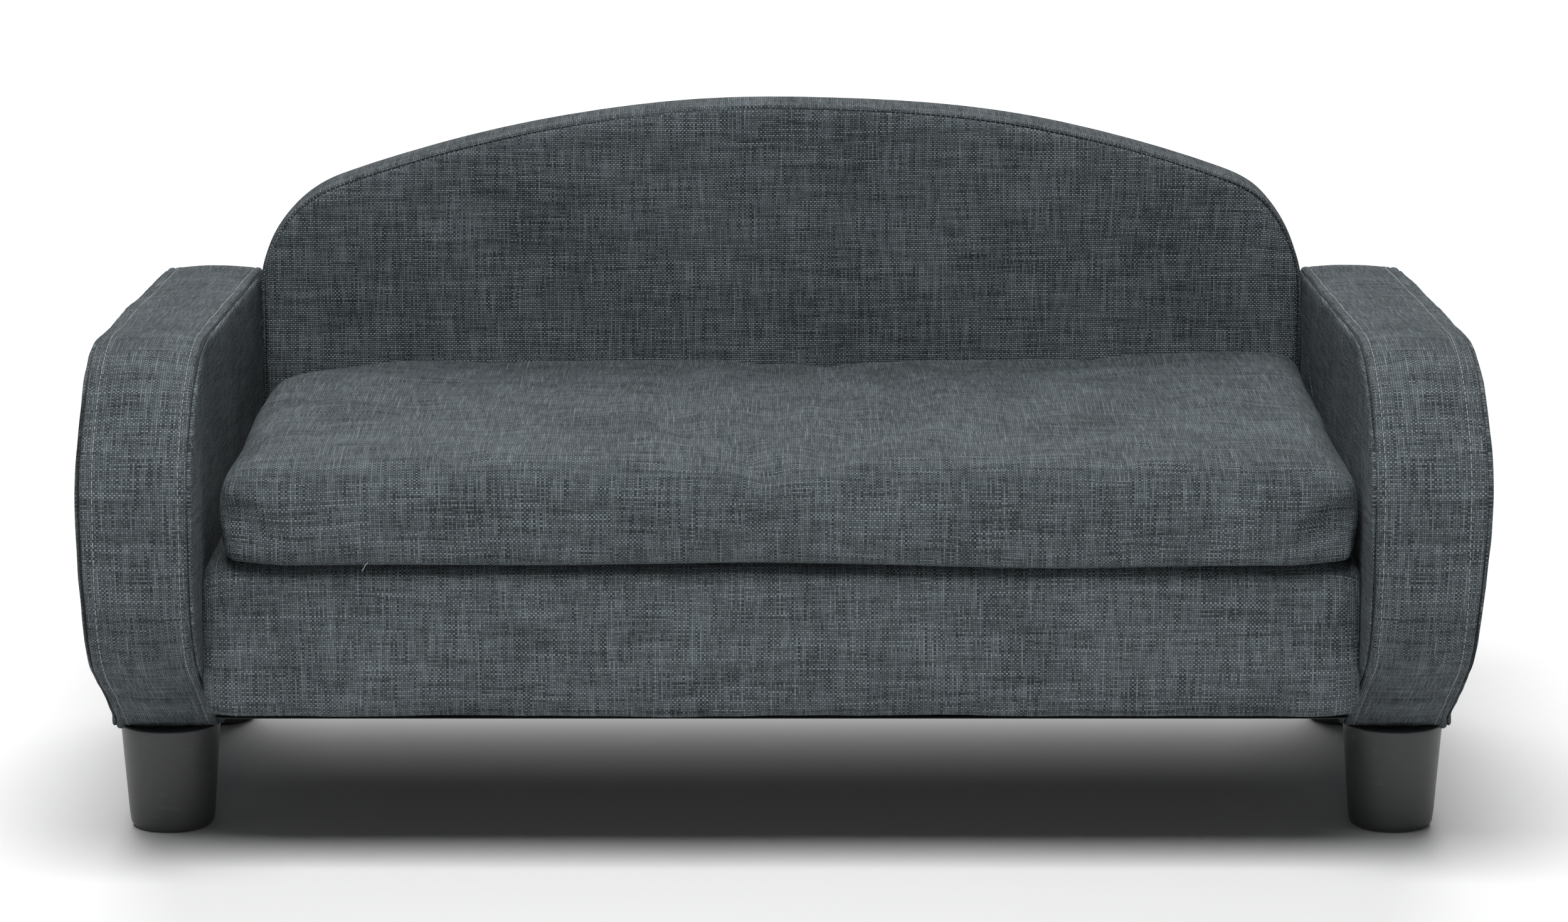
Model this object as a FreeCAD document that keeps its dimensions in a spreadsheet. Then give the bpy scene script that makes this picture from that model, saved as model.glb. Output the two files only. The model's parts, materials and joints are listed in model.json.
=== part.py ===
"""Small upholstered pet sofa: a boarded frame, padded arms and back, a loose zipped cushion.

+X is the sofa's left-to-right, +Y runs from its front to its back and +Z is up.
The origin is the middle of its footprint, on the floor. Millimetres throughout.
"""
import FreeCAD, Part
import Sketcher
import math
import os
import re

SIZES = {
    # outside of the sofa
    "overall_width": 800,
    "overall_depth": 483,
    "overall_height": 401,
    "cloth": 1.5,
    # feet
    "foot_height": 60,
    "foot_top_radius": 29.5,
    "foot_base_radius": 25,
    "foot_edge_radius": 5,
    "front_foot_step": 6,
    # arm outline, seen from the side, measured from its front edge and from the floor
    "arm_thickness": 65.4,
    "toe_run": 156,
    "toe_height": 143,
    "toe_radius": 80,
    "sole_radius": 60,
    "brow_height": 252,
    "brow_radius": 45,
    "crown_run": 66,
    "crown_height": 307,
    "crown_radius": 155,
    "arm_rear_height": 288,
    "arm_corner_radius": 6,
    # inside of an arm
    "arm_panel": 9,
    "arm_side_foam": 5,
    "arm_rim_foam": 12,
    "arm_rail": 20,
    "arm_top_rail": 40,
    "arm_post": 40,
    # back
    "back_thickness": 51.5,
    "back_crown_radius": 830,
    "back_shoulder_radius": 75,
    "back_board": 9,
    "back_batten": 18,
    "back_batten_width": 45,
    "back_bottom_rail": 27,
    "back_rim_foam": 10,
    # seat box between the arms
    "seat_setback": 42,
    "seat_bottom": 94,
    "seat_top": 186,
    "seat_front_radius": 18,
    "seat_lower_radius": 8,
    "seat_front_foam": 15,
    "seat_top_foam": 10,
    "seat_deck": 9,
    "seat_rail": 18,
    "corner_block": 55,
    "corner_block_rise": 18,
    "turn_under": 40,
    "dust_cover": 1,
    "dust_cover_margin": 6,
    # loose cushion
    "cushion_setback": 36.5,
    "cushion_height": 59,
    "cushion_edge_radius": 16,
    "cushion_side_gap": 9,
    "cushion_rear_gap": 7,
    "rest_clearance": 0.3,
    # bolts with tee nuts, which hold the arms and the back to the seat box
    "bolt_radius": 4,
    "bolt_head_radius": 6.5,
    "bolt_head": 6,
    "bolt_key_radius": 3.4,
    "washer_radius": 11,
    "washer": 1.6,
    "tee_barrel_radius": 5,
    "tee_barrel": 8,
    "tee_flange_radius": 10.5,
    "tee_flange": 1.6,
    "bore_clearance": 0.1,
    "tee_spacing": 2,
    "bolt_spacing": 16,
    "bolt_drop": 20,
    "back_bolt_spread": 190,
    "stud_grip": 30,
    # deck screws and dust cover staples
    "screw_radius": 2,
    "screw_length": 34,
    "screw_head_radius": 4,
    "screw_head": 2.5,
    "screw_pitch": 190,
    "staple_crown": 10,
    "staple_wire": 0.9,
    "staple_leg": 7,
    "staple_pitch": 100,
    # zip along the cushion's rear side
    "zip_length": 540,
    "zip_tape_width": 11,
    "zip_tape": 0.6,
    "zip_coil_width": 4.6,
    "zip_coil": 1.4,
    "zip_stop": 3,
    "slider_length": 10,
    "slider_plate": 1,
    "slider_lip": 1.6,
    "slider_clearance": 0.35,
    "pull_length": 24,
    "pull_width": 7,
    "pull_corner_radius": 3.2,
    "pull_slot_radius": 1.6,
    "pull_thickness": 1.1,
    "pull_pin_radius": 1,
    "pull_pin_clearance": 0.25,
    "pull_head_radius": 2,
    "pull_head": 0.6,
}

# Places that several pieces share, as expressions over the sheet's cells.
FRONT = "(-overall_depth / 2)"
REAR = "(overall_depth / 2)"
ARM_OUTER = "(overall_width / 2)"
ARM_INNER = f"({ARM_OUTER} - arm_thickness)"
ARM_MIDDLE = f"({ARM_OUTER} - arm_thickness / 2)"
ARM_PANEL_OUTER = f"({ARM_OUTER} - cloth - arm_side_foam)"
ARM_PANEL_INNER = f"({ARM_INNER} + cloth + arm_side_foam)"
ARM_SOLE = "(foot_height + cloth)"
BACK_FRONT = f"({REAR} - back_thickness)"
BACK_BATTEN_REAR = f"({REAR} - cloth)"
BACK_BOARD_REAR = f"({BACK_BATTEN_REAR} - back_batten)"
BACK_BOARD_FRONT = f"({BACK_BOARD_REAR} - back_board)"
SEAT_FRONT = f"({FRONT} + seat_setback)"
SEAT_BOX_FRONT = f"({SEAT_FRONT} + cloth + seat_front_foam)"
SEAT_BOX_REAR = f"({BACK_FRONT} - cloth)"
SEAT_BOX_BOTTOM = "(seat_bottom + cloth)"
DECK_TOP = "(seat_top - cloth - seat_top_foam)"
DECK_BOTTOM = f"({DECK_TOP} - seat_deck)"
CUSHION_FRONT = f"({FRONT} + cushion_setback)"
CUSHION_REAR = f"({BACK_FRONT} - cushion_rear_gap)"
CUSHION_BOTTOM = "(seat_top + rest_clearance)"
CUSHION_TOP = f"({CUSHION_BOTTOM} + cushion_height)"
CUSHION_HALF = f"({ARM_INNER} - cushion_side_gap)"
ZIP_HEIGHT = f"({CUSHION_BOTTOM} + cushion_height / 2)"
COIL_FACE = f"({CUSHION_REAR} + zip_tape + zip_coil)"
SLIDER_FACE = f"({COIL_FACE} + slider_clearance + slider_plate)"
SLIDER_X = "(slider_length - zip_length / 2)"
DRILL_RADIUS = "(tee_barrel_radius + bore_clearance)"

# A sketch's own plane: seen from the side, from behind, or from above.
SIDE = FreeCAD.Rotation(FreeCAD.Vector(1, 1, 1), 120)
REAR_VIEW = FreeCAD.Rotation(FreeCAD.Vector(0, 1, 1), 180)
PLAN = FreeCAD.Rotation()
ALONG = {
    "x": FreeCAD.Rotation(FreeCAD.Vector(0, 1, 0), 90),
    "y": FreeCAD.Rotation(FreeCAD.Vector(1, 0, 0), -90),
    "z": FreeCAD.Rotation(),
}

doc = FreeCAD.newDocument("pet_sofa")
sheet = doc.addObject("Spreadsheet::Sheet", "Sizes")
for row, (alias, size) in enumerate(SIZES.items(), 1):
    sheet.set(f"A{row}", alias)
    sheet.set(f"B{row}", str(size))
    sheet.setAlias(f"B{row}", alias)
doc.recompute()

nodes = []


# Helpers ----------------------------------------------------------------------------------

def from_sheet(expression):
    """The expression with each alias written as a cell of the sheet."""
    def cell(word):
        return f"Sizes.{word.group()}" if word.group() in SIZES else word.group()
    return re.sub(r"[a-z_]+", cell, expression)


def number(expression):
    """What an expression comes to, as a plain number."""
    return float(sheet.evalExpression(from_sheet(expression)))


def bind(item, sizes):
    """Ties each named property of an object to an expression."""
    for name, expression in sizes.items():
        item.setExpression(name, from_sheet(expression))


def place(item, x, y, z):
    """Ties an object's position to expressions."""
    bind(item, {"Placement.Base.x": x, "Placement.Base.y": y, "Placement.Base.z": z})


def node(item, label):
    """Names an object as one of the sofa's pieces."""
    item.Label = label
    nodes.append(item)
    return item


def box(x, y, z):
    """A box between the low and high expressions of each axis."""
    block = doc.addObject("Part::Box", "Box")
    place(block, x[0], y[0], z[0])
    for side, (low, high) in zip(("Length", "Width", "Height"), (x, y, z)):
        bind(block, {side: f"{high} - {low}"})
    return block


def cylinder(axis, at, radius, length):
    """A cylinder from a point along +X, +Y or +Z."""
    rod = doc.addObject("Part::Cylinder", "Cylinder")
    rod.Placement = FreeCAD.Placement(FreeCAD.Vector(), ALONG[axis])
    place(rod, *at)
    bind(rod, {"Radius": radius, "Height": length})
    return rod


def shifted(at, axis, distance):
    """A point moved along an axis, as expressions."""
    return [f"({c} + {distance})" if name == axis else c for name, c in zip("xyz", at)]


def cut(base, *tools):
    """A base with one or more tools taken out of it."""
    result = doc.addObject("Part::Cut", "Cut")
    result.Base = base
    result.Tool = tools[0] if len(tools) == 1 else fuse(*tools)
    return result


def fuse(*items):
    """Several objects as one."""
    result = doc.addObject("Part::MultiFuse", "Fuse")
    result.Shapes = list(items)
    return result


def common(first, second):
    """What two objects share."""
    result = doc.addObject("Part::Common", "Common")
    result.Base = first
    result.Tool = second
    return result


def group(items):
    """Separate identical solids that are kept as one piece."""
    result = doc.addObject("Part::Compound", "Group")
    result.Links = list(items)
    return result


def mirror(item):
    """The same thing on the sofa's other side."""
    result = doc.addObject("Part::Mirroring", "Mirror")
    result.Source = item
    result.Normal = FreeCAD.Vector(1, 0, 0)
    return result


def fix_point(sketch, geometry, point, across, up):
    """Ties a sketch point's two distances from the sketch's origin to expressions."""
    for kind, expression in (("DistanceX", across), ("DistanceY", up)):
        index = sketch.addConstraint(
            Sketcher.Constraint(kind, -1, 1, geometry, point, number(expression)))
        sketch.setExpression(f"Constraints[{index}]", from_sheet(expression))


def fix_radius(sketch, geometry, radius):
    """Ties the radius of a sketch arc to an expression."""
    index = sketch.addConstraint(Sketcher.Constraint("Radius", geometry, number(radius)))
    sketch.setExpression(f"Constraints[{index}]", from_sheet(radius))


def arc_through(centre, radius, start, end):
    """An anticlockwise arc about a centre, from one point to another."""
    circle = Part.Circle(centre, FreeCAD.Vector(0, 0, 1), radius)
    return Part.ArcOfCircle(circle, circle.parameter(start), circle.parameter(end))


def outline(view, corners):
    """A closed sketch through convex corners, listed anticlockwise.

    Each corner is (across, up, radius), as expressions; a radius of 0 leaves it sharp.
    """
    sketch = doc.addObject("Sketcher::SketchObject", "Outline")
    sketch.Placement = FreeCAD.Placement(FreeCAD.Vector(), view)
    points = [FreeCAD.Vector(number(a), number(u), 0) for a, u, _ in corners]
    radii = [number(r) for _, _, r in corners]
    ways = [(points[(i + 1) % len(points)] - p).normalize() for i, p in enumerate(points)]
    trims = [r * math.tan(ways[i - 1].getAngle(ways[i]) / 2) for i, r in enumerate(radii)]
    starts = [p - ways[i - 1] * trims[i] for i, p in enumerate(points)]
    ends = [p + ways[i] * trims[i] for i, p in enumerate(points)]

    sides = [sketch.addGeometry(Part.LineSegment(ends[i], starts[(i + 1) % len(points)]))
             for i in range(len(points))]
    for i, (across, up, radius) in enumerate(corners):
        before, after = sides[i - 1], sides[i]
        if radii[i] == 0:
            sketch.addConstraint(Sketcher.Constraint("Coincident", before, 2, after, 1))
            fix_point(sketch, after, 1, across, up)
            continue
        inward = FreeCAD.Vector(-ways[i - 1].y, ways[i - 1].x, 0)
        arc = sketch.addGeometry(
            arc_through(starts[i] + inward * radii[i], radii[i], starts[i], ends[i]))
        corner = sketch.addGeometry(Part.Point(points[i]), True)
        sketch.addConstraint([
            Sketcher.Constraint("Tangent", before, 2, arc, 1),
            Sketcher.Constraint("Tangent", arc, 2, after, 1),
            Sketcher.Constraint("PointOnObject", corner, 1, before),
            Sketcher.Constraint("PointOnObject", corner, 1, after)])
        fix_radius(sketch, arc, radius)
        fix_point(sketch, corner, 1, across, up)
    return sketch


def arch(view, half_width, bottom, top, crown_radius, shoulder_radius):
    """A closed sketch of an upright panel whose top is one shallow arch with round shoulders."""
    half, low, high = number(half_width), number(bottom), number(top)
    crown, shoulder = number(crown_radius), number(shoulder_radius)
    shoulder_x = half - shoulder
    crown_z = high - crown
    shoulder_z = crown_z + math.sqrt((crown - shoulder) ** 2 - shoulder_x ** 2)
    lean = math.atan2(shoulder_z - crown_z, shoulder_x)
    meet = FreeCAD.Vector(crown * math.cos(lean), crown_z + crown * math.sin(lean), 0)

    def mirrored(point):
        return FreeCAD.Vector(-point.x, point.y, 0)

    centre = FreeCAD.Vector(shoulder_x, shoulder_z, 0)
    spring = FreeCAD.Vector(half, shoulder_z, 0)
    foot = FreeCAD.Vector(half, low, 0)
    sketch = doc.addObject("Sketcher::SketchObject", "Arch")
    sketch.Placement = FreeCAD.Placement(FreeCAD.Vector(), view)
    base, right, right_arc, crown_arc, left_arc, left = (sketch.addGeometry(edge) for edge in (
        Part.LineSegment(mirrored(foot), foot),
        Part.LineSegment(foot, spring),
        arc_through(centre, shoulder, spring, meet),
        arc_through(FreeCAD.Vector(0, crown_z, 0), crown, meet, mirrored(meet)),
        arc_through(mirrored(centre), shoulder, mirrored(meet), mirrored(spring)),
        Part.LineSegment(mirrored(spring), mirrored(foot))))
    sketch.addConstraint([
        Sketcher.Constraint("Coincident", base, 2, right, 1),
        Sketcher.Constraint("Tangent", right, 2, right_arc, 1),
        Sketcher.Constraint("Tangent", right_arc, 2, crown_arc, 1),
        Sketcher.Constraint("Tangent", crown_arc, 2, left_arc, 1),
        Sketcher.Constraint("Tangent", left_arc, 2, left, 1),
        Sketcher.Constraint("Coincident", left, 2, base, 1),
        Sketcher.Constraint("Vertical", right),
        Sketcher.Constraint("Vertical", left)])
    fix_point(sketch, base, 1, f"-{half_width}", bottom)
    fix_point(sketch, base, 2, half_width, bottom)
    fix_point(sketch, crown_arc, 3, "0", f"{top} - {crown_radius}")
    for arc, radius in ((right_arc, shoulder_radius), (crown_arc, crown_radius),
                        (left_arc, shoulder_radius)):
        fix_radius(sketch, arc, radius)
    return sketch


def inset(profile, distance):
    """A closed profile drawn in by a distance all round."""
    result = doc.addObject("Part::Offset2D", "Inset")
    result.Source = profile
    result.Join = "Intersection"
    bind(result, {"Value": f"-({distance})"})
    return result


def slab(profile, low, high):
    """A profile as a solid between two places along the axis that its plane faces."""
    solid = doc.addObject("Part::Extrusion", "Slab")
    solid.Base = profile
    solid.DirMode = "Normal"
    solid.Solid = True
    bind(solid, {"LengthFwd": high, "LengthRev": f"-({low})"})
    return solid


def rounded_block(x, y, z, radius):
    """A body of one box whose edges are all rounded."""
    body = doc.addObject("PartDesign::Body", "Block")
    block = body.newObject("PartDesign::AdditiveBox", "Box")
    place(block, x[0], y[0], z[0])
    for side, (low, high) in zip(("Length", "Width", "Height"), (x, y, z)):
        bind(block, {side: f"{high} - {low}"})
    doc.recompute()
    edges = [f"Edge{i + 1}" for i in range(len(block.Shape.Edges))]
    fillet = body.newObject("PartDesign::Fillet", "Rounding")
    fillet.Base = (block, edges)
    bind(fillet, {"Radius": radius})
    return body


def mirrored_range(side, low, high):
    """An x range on the right (side 1), or the same one on the left (side -1)."""
    return (low, high) if side > 0 else (f"-{high}", f"-{low}")


# Fasteners --------------------------------------------------------------------------------

def bolt(axis, at, length):
    """A socket head bolt whose head starts at a point and whose shank runs along the axis."""
    head = cylinder(axis, at, "bolt_head_radius", "bolt_head")
    shank = cylinder(axis, at, "bolt_radius", f"bolt_head + {length}")
    key = doc.addObject("Part::Prism", "KeyHole")
    key.Polygon = 6
    key.Placement = FreeCAD.Placement(FreeCAD.Vector(), ALONG[axis])
    place(key, *at)
    bind(key, {"Circumradius": "bolt_key_radius", "Height": "bolt_head / 2"})
    return cut(fuse(head, shank), key)


def washer(axis, at):
    """A washer that starts at a point."""
    disc = cylinder(axis, at, "washer_radius", "washer")
    return cut(disc, cylinder(axis, at, "bolt_radius + bore_clearance", "washer"))


def tee_nut(axis, at, flange_side):
    """A tee nut: its barrel lies on one side of a point and its flange on the other."""
    if flange_side > 0:
        flange_at, barrel_at = at, shifted(at, axis, "(-tee_barrel)")
    else:
        flange_at, barrel_at = shifted(at, axis, "(-tee_flange)"), at
    flange = cylinder(axis, flange_at, "tee_flange_radius", "tee_flange")
    barrel = cylinder(axis, barrel_at, "tee_barrel_radius", "tee_barrel")
    low = barrel_at if flange_side > 0 else flange_at
    bore = cylinder(axis, low, "bolt_radius + bore_clearance", "tee_barrel + tee_flange")
    return cut(fuse(flange, barrel), bore)


SIDE_RAIL_INNER = f"({ARM_INNER} - seat_rail)"
FRONT_RAIL_REAR = f"({SEAT_BOX_FRONT} + seat_rail)"
REAR_RAIL_FRONT = f"({SEAT_BOX_REAR} - seat_rail)"
BOLT_Z = f"({DECK_BOTTOM} - bolt_drop)"
ARM_BOLT_YS = [f"({FRONT_RAIL_REAR} + corner_block + bolt_spacing)",
               f"({REAR_RAIL_FRONT} - corner_block - bolt_spacing)"]
BACK_BOLT_XS = ["(-back_bolt_spread)", "(back_bolt_spread)"]
ARM_BOLT_GRIP = f"({ARM_PANEL_INNER} + arm_panel + tee_flange - {SIDE_RAIL_INNER} + washer)"
BACK_BOLT_GRIP = f"({BACK_BOARD_REAR} + tee_flange - {REAR_RAIL_FRONT} + washer)"


def arm_fasteners():
    """Bolts, washers and tee nuts that hold each arm to the seat box, and their drill."""
    bolts, washers, nuts, drills = [], [], [], []
    panel_outer = f"({ARM_PANEL_INNER} + arm_panel)"
    for y in ARM_BOLT_YS:
        at_washer = [f"({SIDE_RAIL_INNER} - washer)", y, BOLT_Z]
        washers.append(washer("x", at_washer))
        bolts.append(bolt("x", shifted(at_washer, "x", "(-bolt_head)"), ARM_BOLT_GRIP))
        nuts.append(tee_nut("x", [panel_outer, y, BOLT_Z], 1))
        drills.append(cylinder("x", [SIDE_RAIL_INNER, y, BOLT_Z], DRILL_RADIUS,
                               f"{panel_outer} - {SIDE_RAIL_INNER}"))
    sets = []
    for items in (bolts, washers, nuts, drills):
        right = group(items)
        sets.append((right, mirror(right)))
    for (right, left), label in zip(sets, ("arm_bolts", "arm_bolt_washers", "arm_tee_nuts")):
        node(group([right, left]), label)
    return {1: sets[3][0], -1: sets[3][1]}


def back_fasteners():
    """Bolts, washers and tee nuts that hold the back to the seat box.

    Their drill comes back, and the room that each tee nut's flange takes behind the board.
    """
    bolts, washers, nuts, drills, rooms = [], [], [], [], []
    for x in BACK_BOLT_XS:
        at_washer = [x, f"({REAR_RAIL_FRONT} - washer)", BOLT_Z]
        washers.append(washer("y", at_washer))
        bolts.append(bolt("y", shifted(at_washer, "y", "(-bolt_head)"), BACK_BOLT_GRIP))
        nuts.append(tee_nut("y", [x, BACK_BOARD_REAR, BOLT_Z], 1))
        drills.append(cylinder("y", [x, REAR_RAIL_FRONT, BOLT_Z], DRILL_RADIUS,
                               f"{BACK_BOARD_REAR} - {REAR_RAIL_FRONT}"))
        rooms.append(cylinder("y", [x, BACK_BOARD_REAR, BOLT_Z],
                              "tee_flange_radius + tee_spacing", "back_batten"))
    node(group(bolts), "back_bolts")
    node(group(washers), "back_bolt_washers")
    node(group(nuts), "back_tee_nuts")
    return group(drills), group(rooms)


# Feet -------------------------------------------------------------------------------------

REAR_POST_FRONT = f"({REAR} - cloth - arm_post)"
FOOT_YS = {"front": f"({FRONT} + toe_run + front_foot_step)",
           "rear": f"({REAR_POST_FRONT} - tee_flange_radius - tee_spacing)"}
STUD_BOTTOM = "(foot_height - stud_grip)"
STUD_TOP = f"({ARM_SOLE} + arm_rail + tee_flange)"


def foot(side, end):
    """A tapered plastic foot, turned about its own axis, with a blind hole for its stud."""
    body = doc.addObject("PartDesign::Body", "Foot")
    profile = body.newObject("Sketcher::SketchObject", "Profile")
    plane = [p for p in body.Origin.OriginFeatures if p.Role == "XZ_Plane"][0]
    profile.AttachmentSupport = (plane, "")
    profile.MapMode = "FlatFace"
    points = [("0", "0"), ("foot_base_radius", "0"), ("foot_top_radius", "foot_height"),
              ("bolt_radius", "foot_height"), ("bolt_radius", STUD_BOTTOM), ("0", STUD_BOTTOM)]
    places = [FreeCAD.Vector(number(a), number(u), 0) for a, u in points]
    for start, end_point in zip(places, places[1:] + places[:1]):
        profile.addGeometry(Part.LineSegment(start, end_point))
    for i, (across, up) in enumerate(points):
        profile.addConstraint(
            Sketcher.Constraint("Coincident", (i - 1) % len(points), 2, i, 1))
        fix_point(profile, i, 1, across, up)
    doc.recompute()
    turning = body.newObject("PartDesign::Revolution", "Turning")
    turning.Profile = profile
    turning.ReferenceAxis = (profile, ["V_Axis"])
    turning.Angle = 360
    doc.recompute()
    floor_edge = [f"Edge{i + 1}" for i, edge in enumerate(turning.Shape.Edges)
                  if edge.BoundBox.ZMax < 0.01 and edge.Closed]
    rounding = body.newObject("PartDesign::Fillet", "Rounding")
    rounding.Base = (turning, floor_edge)
    bind(rounding, {"Radius": "foot_edge_radius"})
    x = ARM_MIDDLE if side > 0 else f"-{ARM_MIDDLE}"
    place(body, x, FOOT_YS[end], "0")
    return body


def feet():
    """Four feet, the studs they screw on with, and the tee nuts above."""
    studs, nuts, drills = [], [], []
    for side, hand in ((-1, "left"), (1, "right")):
        for end, y in FOOT_YS.items():
            node(foot(side, end), f"{end}_{hand}_foot")
            x = ARM_MIDDLE if side > 0 else f"-{ARM_MIDDLE}"
            studs.append(cylinder("z", [x, y, STUD_BOTTOM], "bolt_radius",
                                  f"{STUD_TOP} - {STUD_BOTTOM}"))
            nuts.append(tee_nut("z", [x, y, f"({ARM_SOLE} + arm_rail)"], 1))
            drills.append(cylinder("z", [x, y, "foot_height"], DRILL_RADIUS,
                                   f"{ARM_SOLE} + arm_rail - foot_height"))
    node(group(studs), "foot_studs")
    node(group(nuts), "foot_tee_nuts")
    return group(drills)


# Arms -------------------------------------------------------------------------------------

def arm_outline(margin="0", base_margin="0"):
    """The arm seen from the side, drawn in by a margin, and by a smaller one below and behind.

    The crown's radius shrinks twice as fast as the margin, so that its arc still ends on the
    shorter slope between brow and crown.
    """
    front = f"({FRONT} + {margin})"
    sole = f"(foot_height + {base_margin})"
    return outline(SIDE, [
        (front, "toe_height", f"toe_radius - {margin}"),
        (f"{FRONT} + toe_run", sole, "sole_radius"),
        (f"{REAR} - {base_margin}", sole, "0"),
        (f"{REAR} - {base_margin}", f"arm_rear_height - {margin}", "arm_corner_radius"),
        (f"{FRONT} + crown_run", f"crown_height - {margin}", f"crown_radius - {margin} * 2"),
        (front, f"brow_height - {margin} / 2", f"brow_radius - {margin}"),
    ])


def arms(foot_drill, bolt_drills):
    """Two arms: boarded boxes with rails and posts, wrapped in foam and sewn cloth."""
    skin = arm_outline()
    padding = inset(skin, "cloth")
    board = arm_outline("(cloth + arm_rim_foam)", "cloth")
    for side, hand in ((-1, "left"), (1, "right")):
        skin_x = mirrored_range(side, ARM_INNER, ARM_OUTER)
        foam_x = mirrored_range(side, f"({ARM_INNER} + cloth)", f"({ARM_OUTER} - cloth)")
        frame_x = mirrored_range(side, ARM_PANEL_INNER, ARM_PANEL_OUTER)
        core_x = mirrored_range(side, f"({ARM_PANEL_INNER} + arm_panel)",
                                f"({ARM_PANEL_OUTER} - arm_panel)")
        inner_x = mirrored_range(side, ARM_PANEL_INNER, f"({ARM_PANEL_INNER} + arm_panel)")
        outer_x = mirrored_range(side, f"({ARM_PANEL_OUTER} - arm_panel)", ARM_PANEL_OUTER)
        drill = bolt_drills[side]
        foam = slab(padding, *foam_x)
        node(cut(slab(skin, *skin_x), foam, drill, foot_drill), f"{hand}_arm_cover")
        node(cut(foam, slab(board, *frame_x), drill, foot_drill), f"{hand}_arm_foam")
        node(cut(slab(board, *inner_x), drill), f"{hand}_arm_inner_panel")
        node(slab(board, *outer_x), f"{hand}_arm_outer_panel")
        core = slab(board, *core_x)
        top = f"({ARM_SOLE} + arm_rail)"
        ceiling = "(arm_rear_height - cloth - arm_rim_foam - arm_top_rail)"
        post_rear = f"({FRONT} + cloth + arm_rim_foam + arm_post)"
        everywhere = (FRONT, REAR)
        node(cut(common(core, box(core_x, everywhere, (ARM_SOLE, top))), foot_drill),
             f"{hand}_arm_bottom_rail")
        node(common(core, box(core_x, everywhere, (ceiling, "crown_height"))),
             f"{hand}_arm_top_rail")
        node(common(core, box(core_x, (FRONT, post_rear), (top, ceiling))),
             f"{hand}_arm_front_post")
        node(common(core, box(core_x, (REAR_POST_FRONT, REAR), (top, ceiling))),
             f"{hand}_arm_rear_post")


# Back -------------------------------------------------------------------------------------

def back(bolt_drill, nut_room):
    """The arched back: board and battens, a foam cap, a sewn cover and a rear cloth."""
    skin = arch(REAR_VIEW, ARM_INNER, "seat_bottom", "overall_height",
                "back_crown_radius", "back_shoulder_radius")
    padding = inset(skin, "cloth")
    rim = "(cloth + back_rim_foam)"
    board_half = f"({ARM_INNER} - {rim})"
    crown, shoulder = f"(back_crown_radius - {rim})", f"(back_shoulder_radius - {rim})"
    board = arch(REAR_VIEW, board_half, SEAT_BOX_BOTTOM, f"(overall_height - {rim})",
                 crown, shoulder)
    foam = slab(padding, f"({BACK_FRONT} + cloth)", BACK_BATTEN_REAR)
    timber = slab(board, BACK_BOARD_FRONT, BACK_BATTEN_REAR)
    node(cut(slab(skin, BACK_FRONT, BACK_BATTEN_REAR), foam, bolt_drill), "back_cover")
    node(cut(foam, timber, bolt_drill), "back_foam")
    node(slab(skin, BACK_BATTEN_REAR, REAR), "back_rear_cloth")
    node(cut(slab(board, BACK_BOARD_FRONT, BACK_BOARD_REAR), bolt_drill), "back_board")

    battens = slab(board, BACK_BOARD_REAR, BACK_BATTEN_REAR)
    deep = (BACK_BOARD_REAR, BACK_BATTEN_REAR)
    wide = (f"-{board_half}", board_half)
    rail_top = f"({SEAT_BOX_BOTTOM} + back_bottom_rail)"
    arch_foot = (f"(overall_height - back_crown_radius + sqrt(({crown} - {shoulder}) ^ 2"
                 f" - ({board_half} - {shoulder}) ^ 2))")
    hollow = slab(inset(board, "back_batten_width"), BACK_BOARD_REAR, BACK_BATTEN_REAR)
    node(cut(box(wide, deep, (SEAT_BOX_BOTTOM, rail_top)), nut_room), "back_bottom_rail")
    node(cut(common(battens, box(wide, deep, (arch_foot, "overall_height"))), hollow),
         "back_arch_rail")
    for side, hand in ((-1, "left"), (1, "right")):
        post_x = mirrored_range(side, f"({board_half} - back_batten_width)", board_half)
        node(common(battens, box(post_x, deep, (rail_top, arch_foot))), f"back_{hand}_post")


# Seat box ---------------------------------------------------------------------------------

def corner_blocks():
    """Triangular glue blocks in the four inner corners of the seat box."""
    blocks = []
    x, near, far = SIDE_RAIL_INNER, FRONT_RAIL_REAR, REAR_RAIL_FRONT
    inner_x, left_x, left_inner_x = f"({x} - corner_block)", f"-{x}", f"-({x} - corner_block)"
    near_y, far_y = f"({near} + corner_block)", f"({far} - corner_block)"
    for corners in (
            [(inner_x, near), (x, near), (x, near_y)],
            [(x, far_y), (x, far), (inner_x, far)],
            [(left_x, near), (left_inner_x, near), (left_x, near_y)],
            [(left_x, far_y), (left_inner_x, far), (left_x, far)]):
        plan = outline(PLAN, [(across, up, "0") for across, up in corners])
        blocks.append(slab(plan, f"({SEAT_BOX_BOTTOM} + corner_block_rise)", DECK_BOTTOM))
    node(group(blocks), "seat_corner_blocks")


def deck_screws():
    """Screws through the deck into the front and rear rails, and their drill."""
    screws, drills = [], []
    rows = (f"({SEAT_BOX_FRONT} + seat_rail / 2)", f"({SEAT_BOX_REAR} - seat_rail / 2)")
    for y in rows:
        for step in (-1.5, -0.5, 0.5, 1.5):
            x = f"({step} * screw_pitch)"
            tip = [x, y, f"({DECK_TOP} - screw_length)"]
            head = [x, y, f"({DECK_TOP} - screw_head)"]
            screws.append(fuse(cylinder("z", tip, "screw_radius", "screw_length"),
                               cylinder("z", head, "screw_head_radius", "screw_head")))
            drills.append(fuse(
                cylinder("z", tip, "screw_radius + bore_clearance", "screw_length"),
                cylinder("z", head, "screw_head_radius + bore_clearance", "screw_head")))
    node(group(screws), "seat_deck_screws")
    return group(drills)


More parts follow.
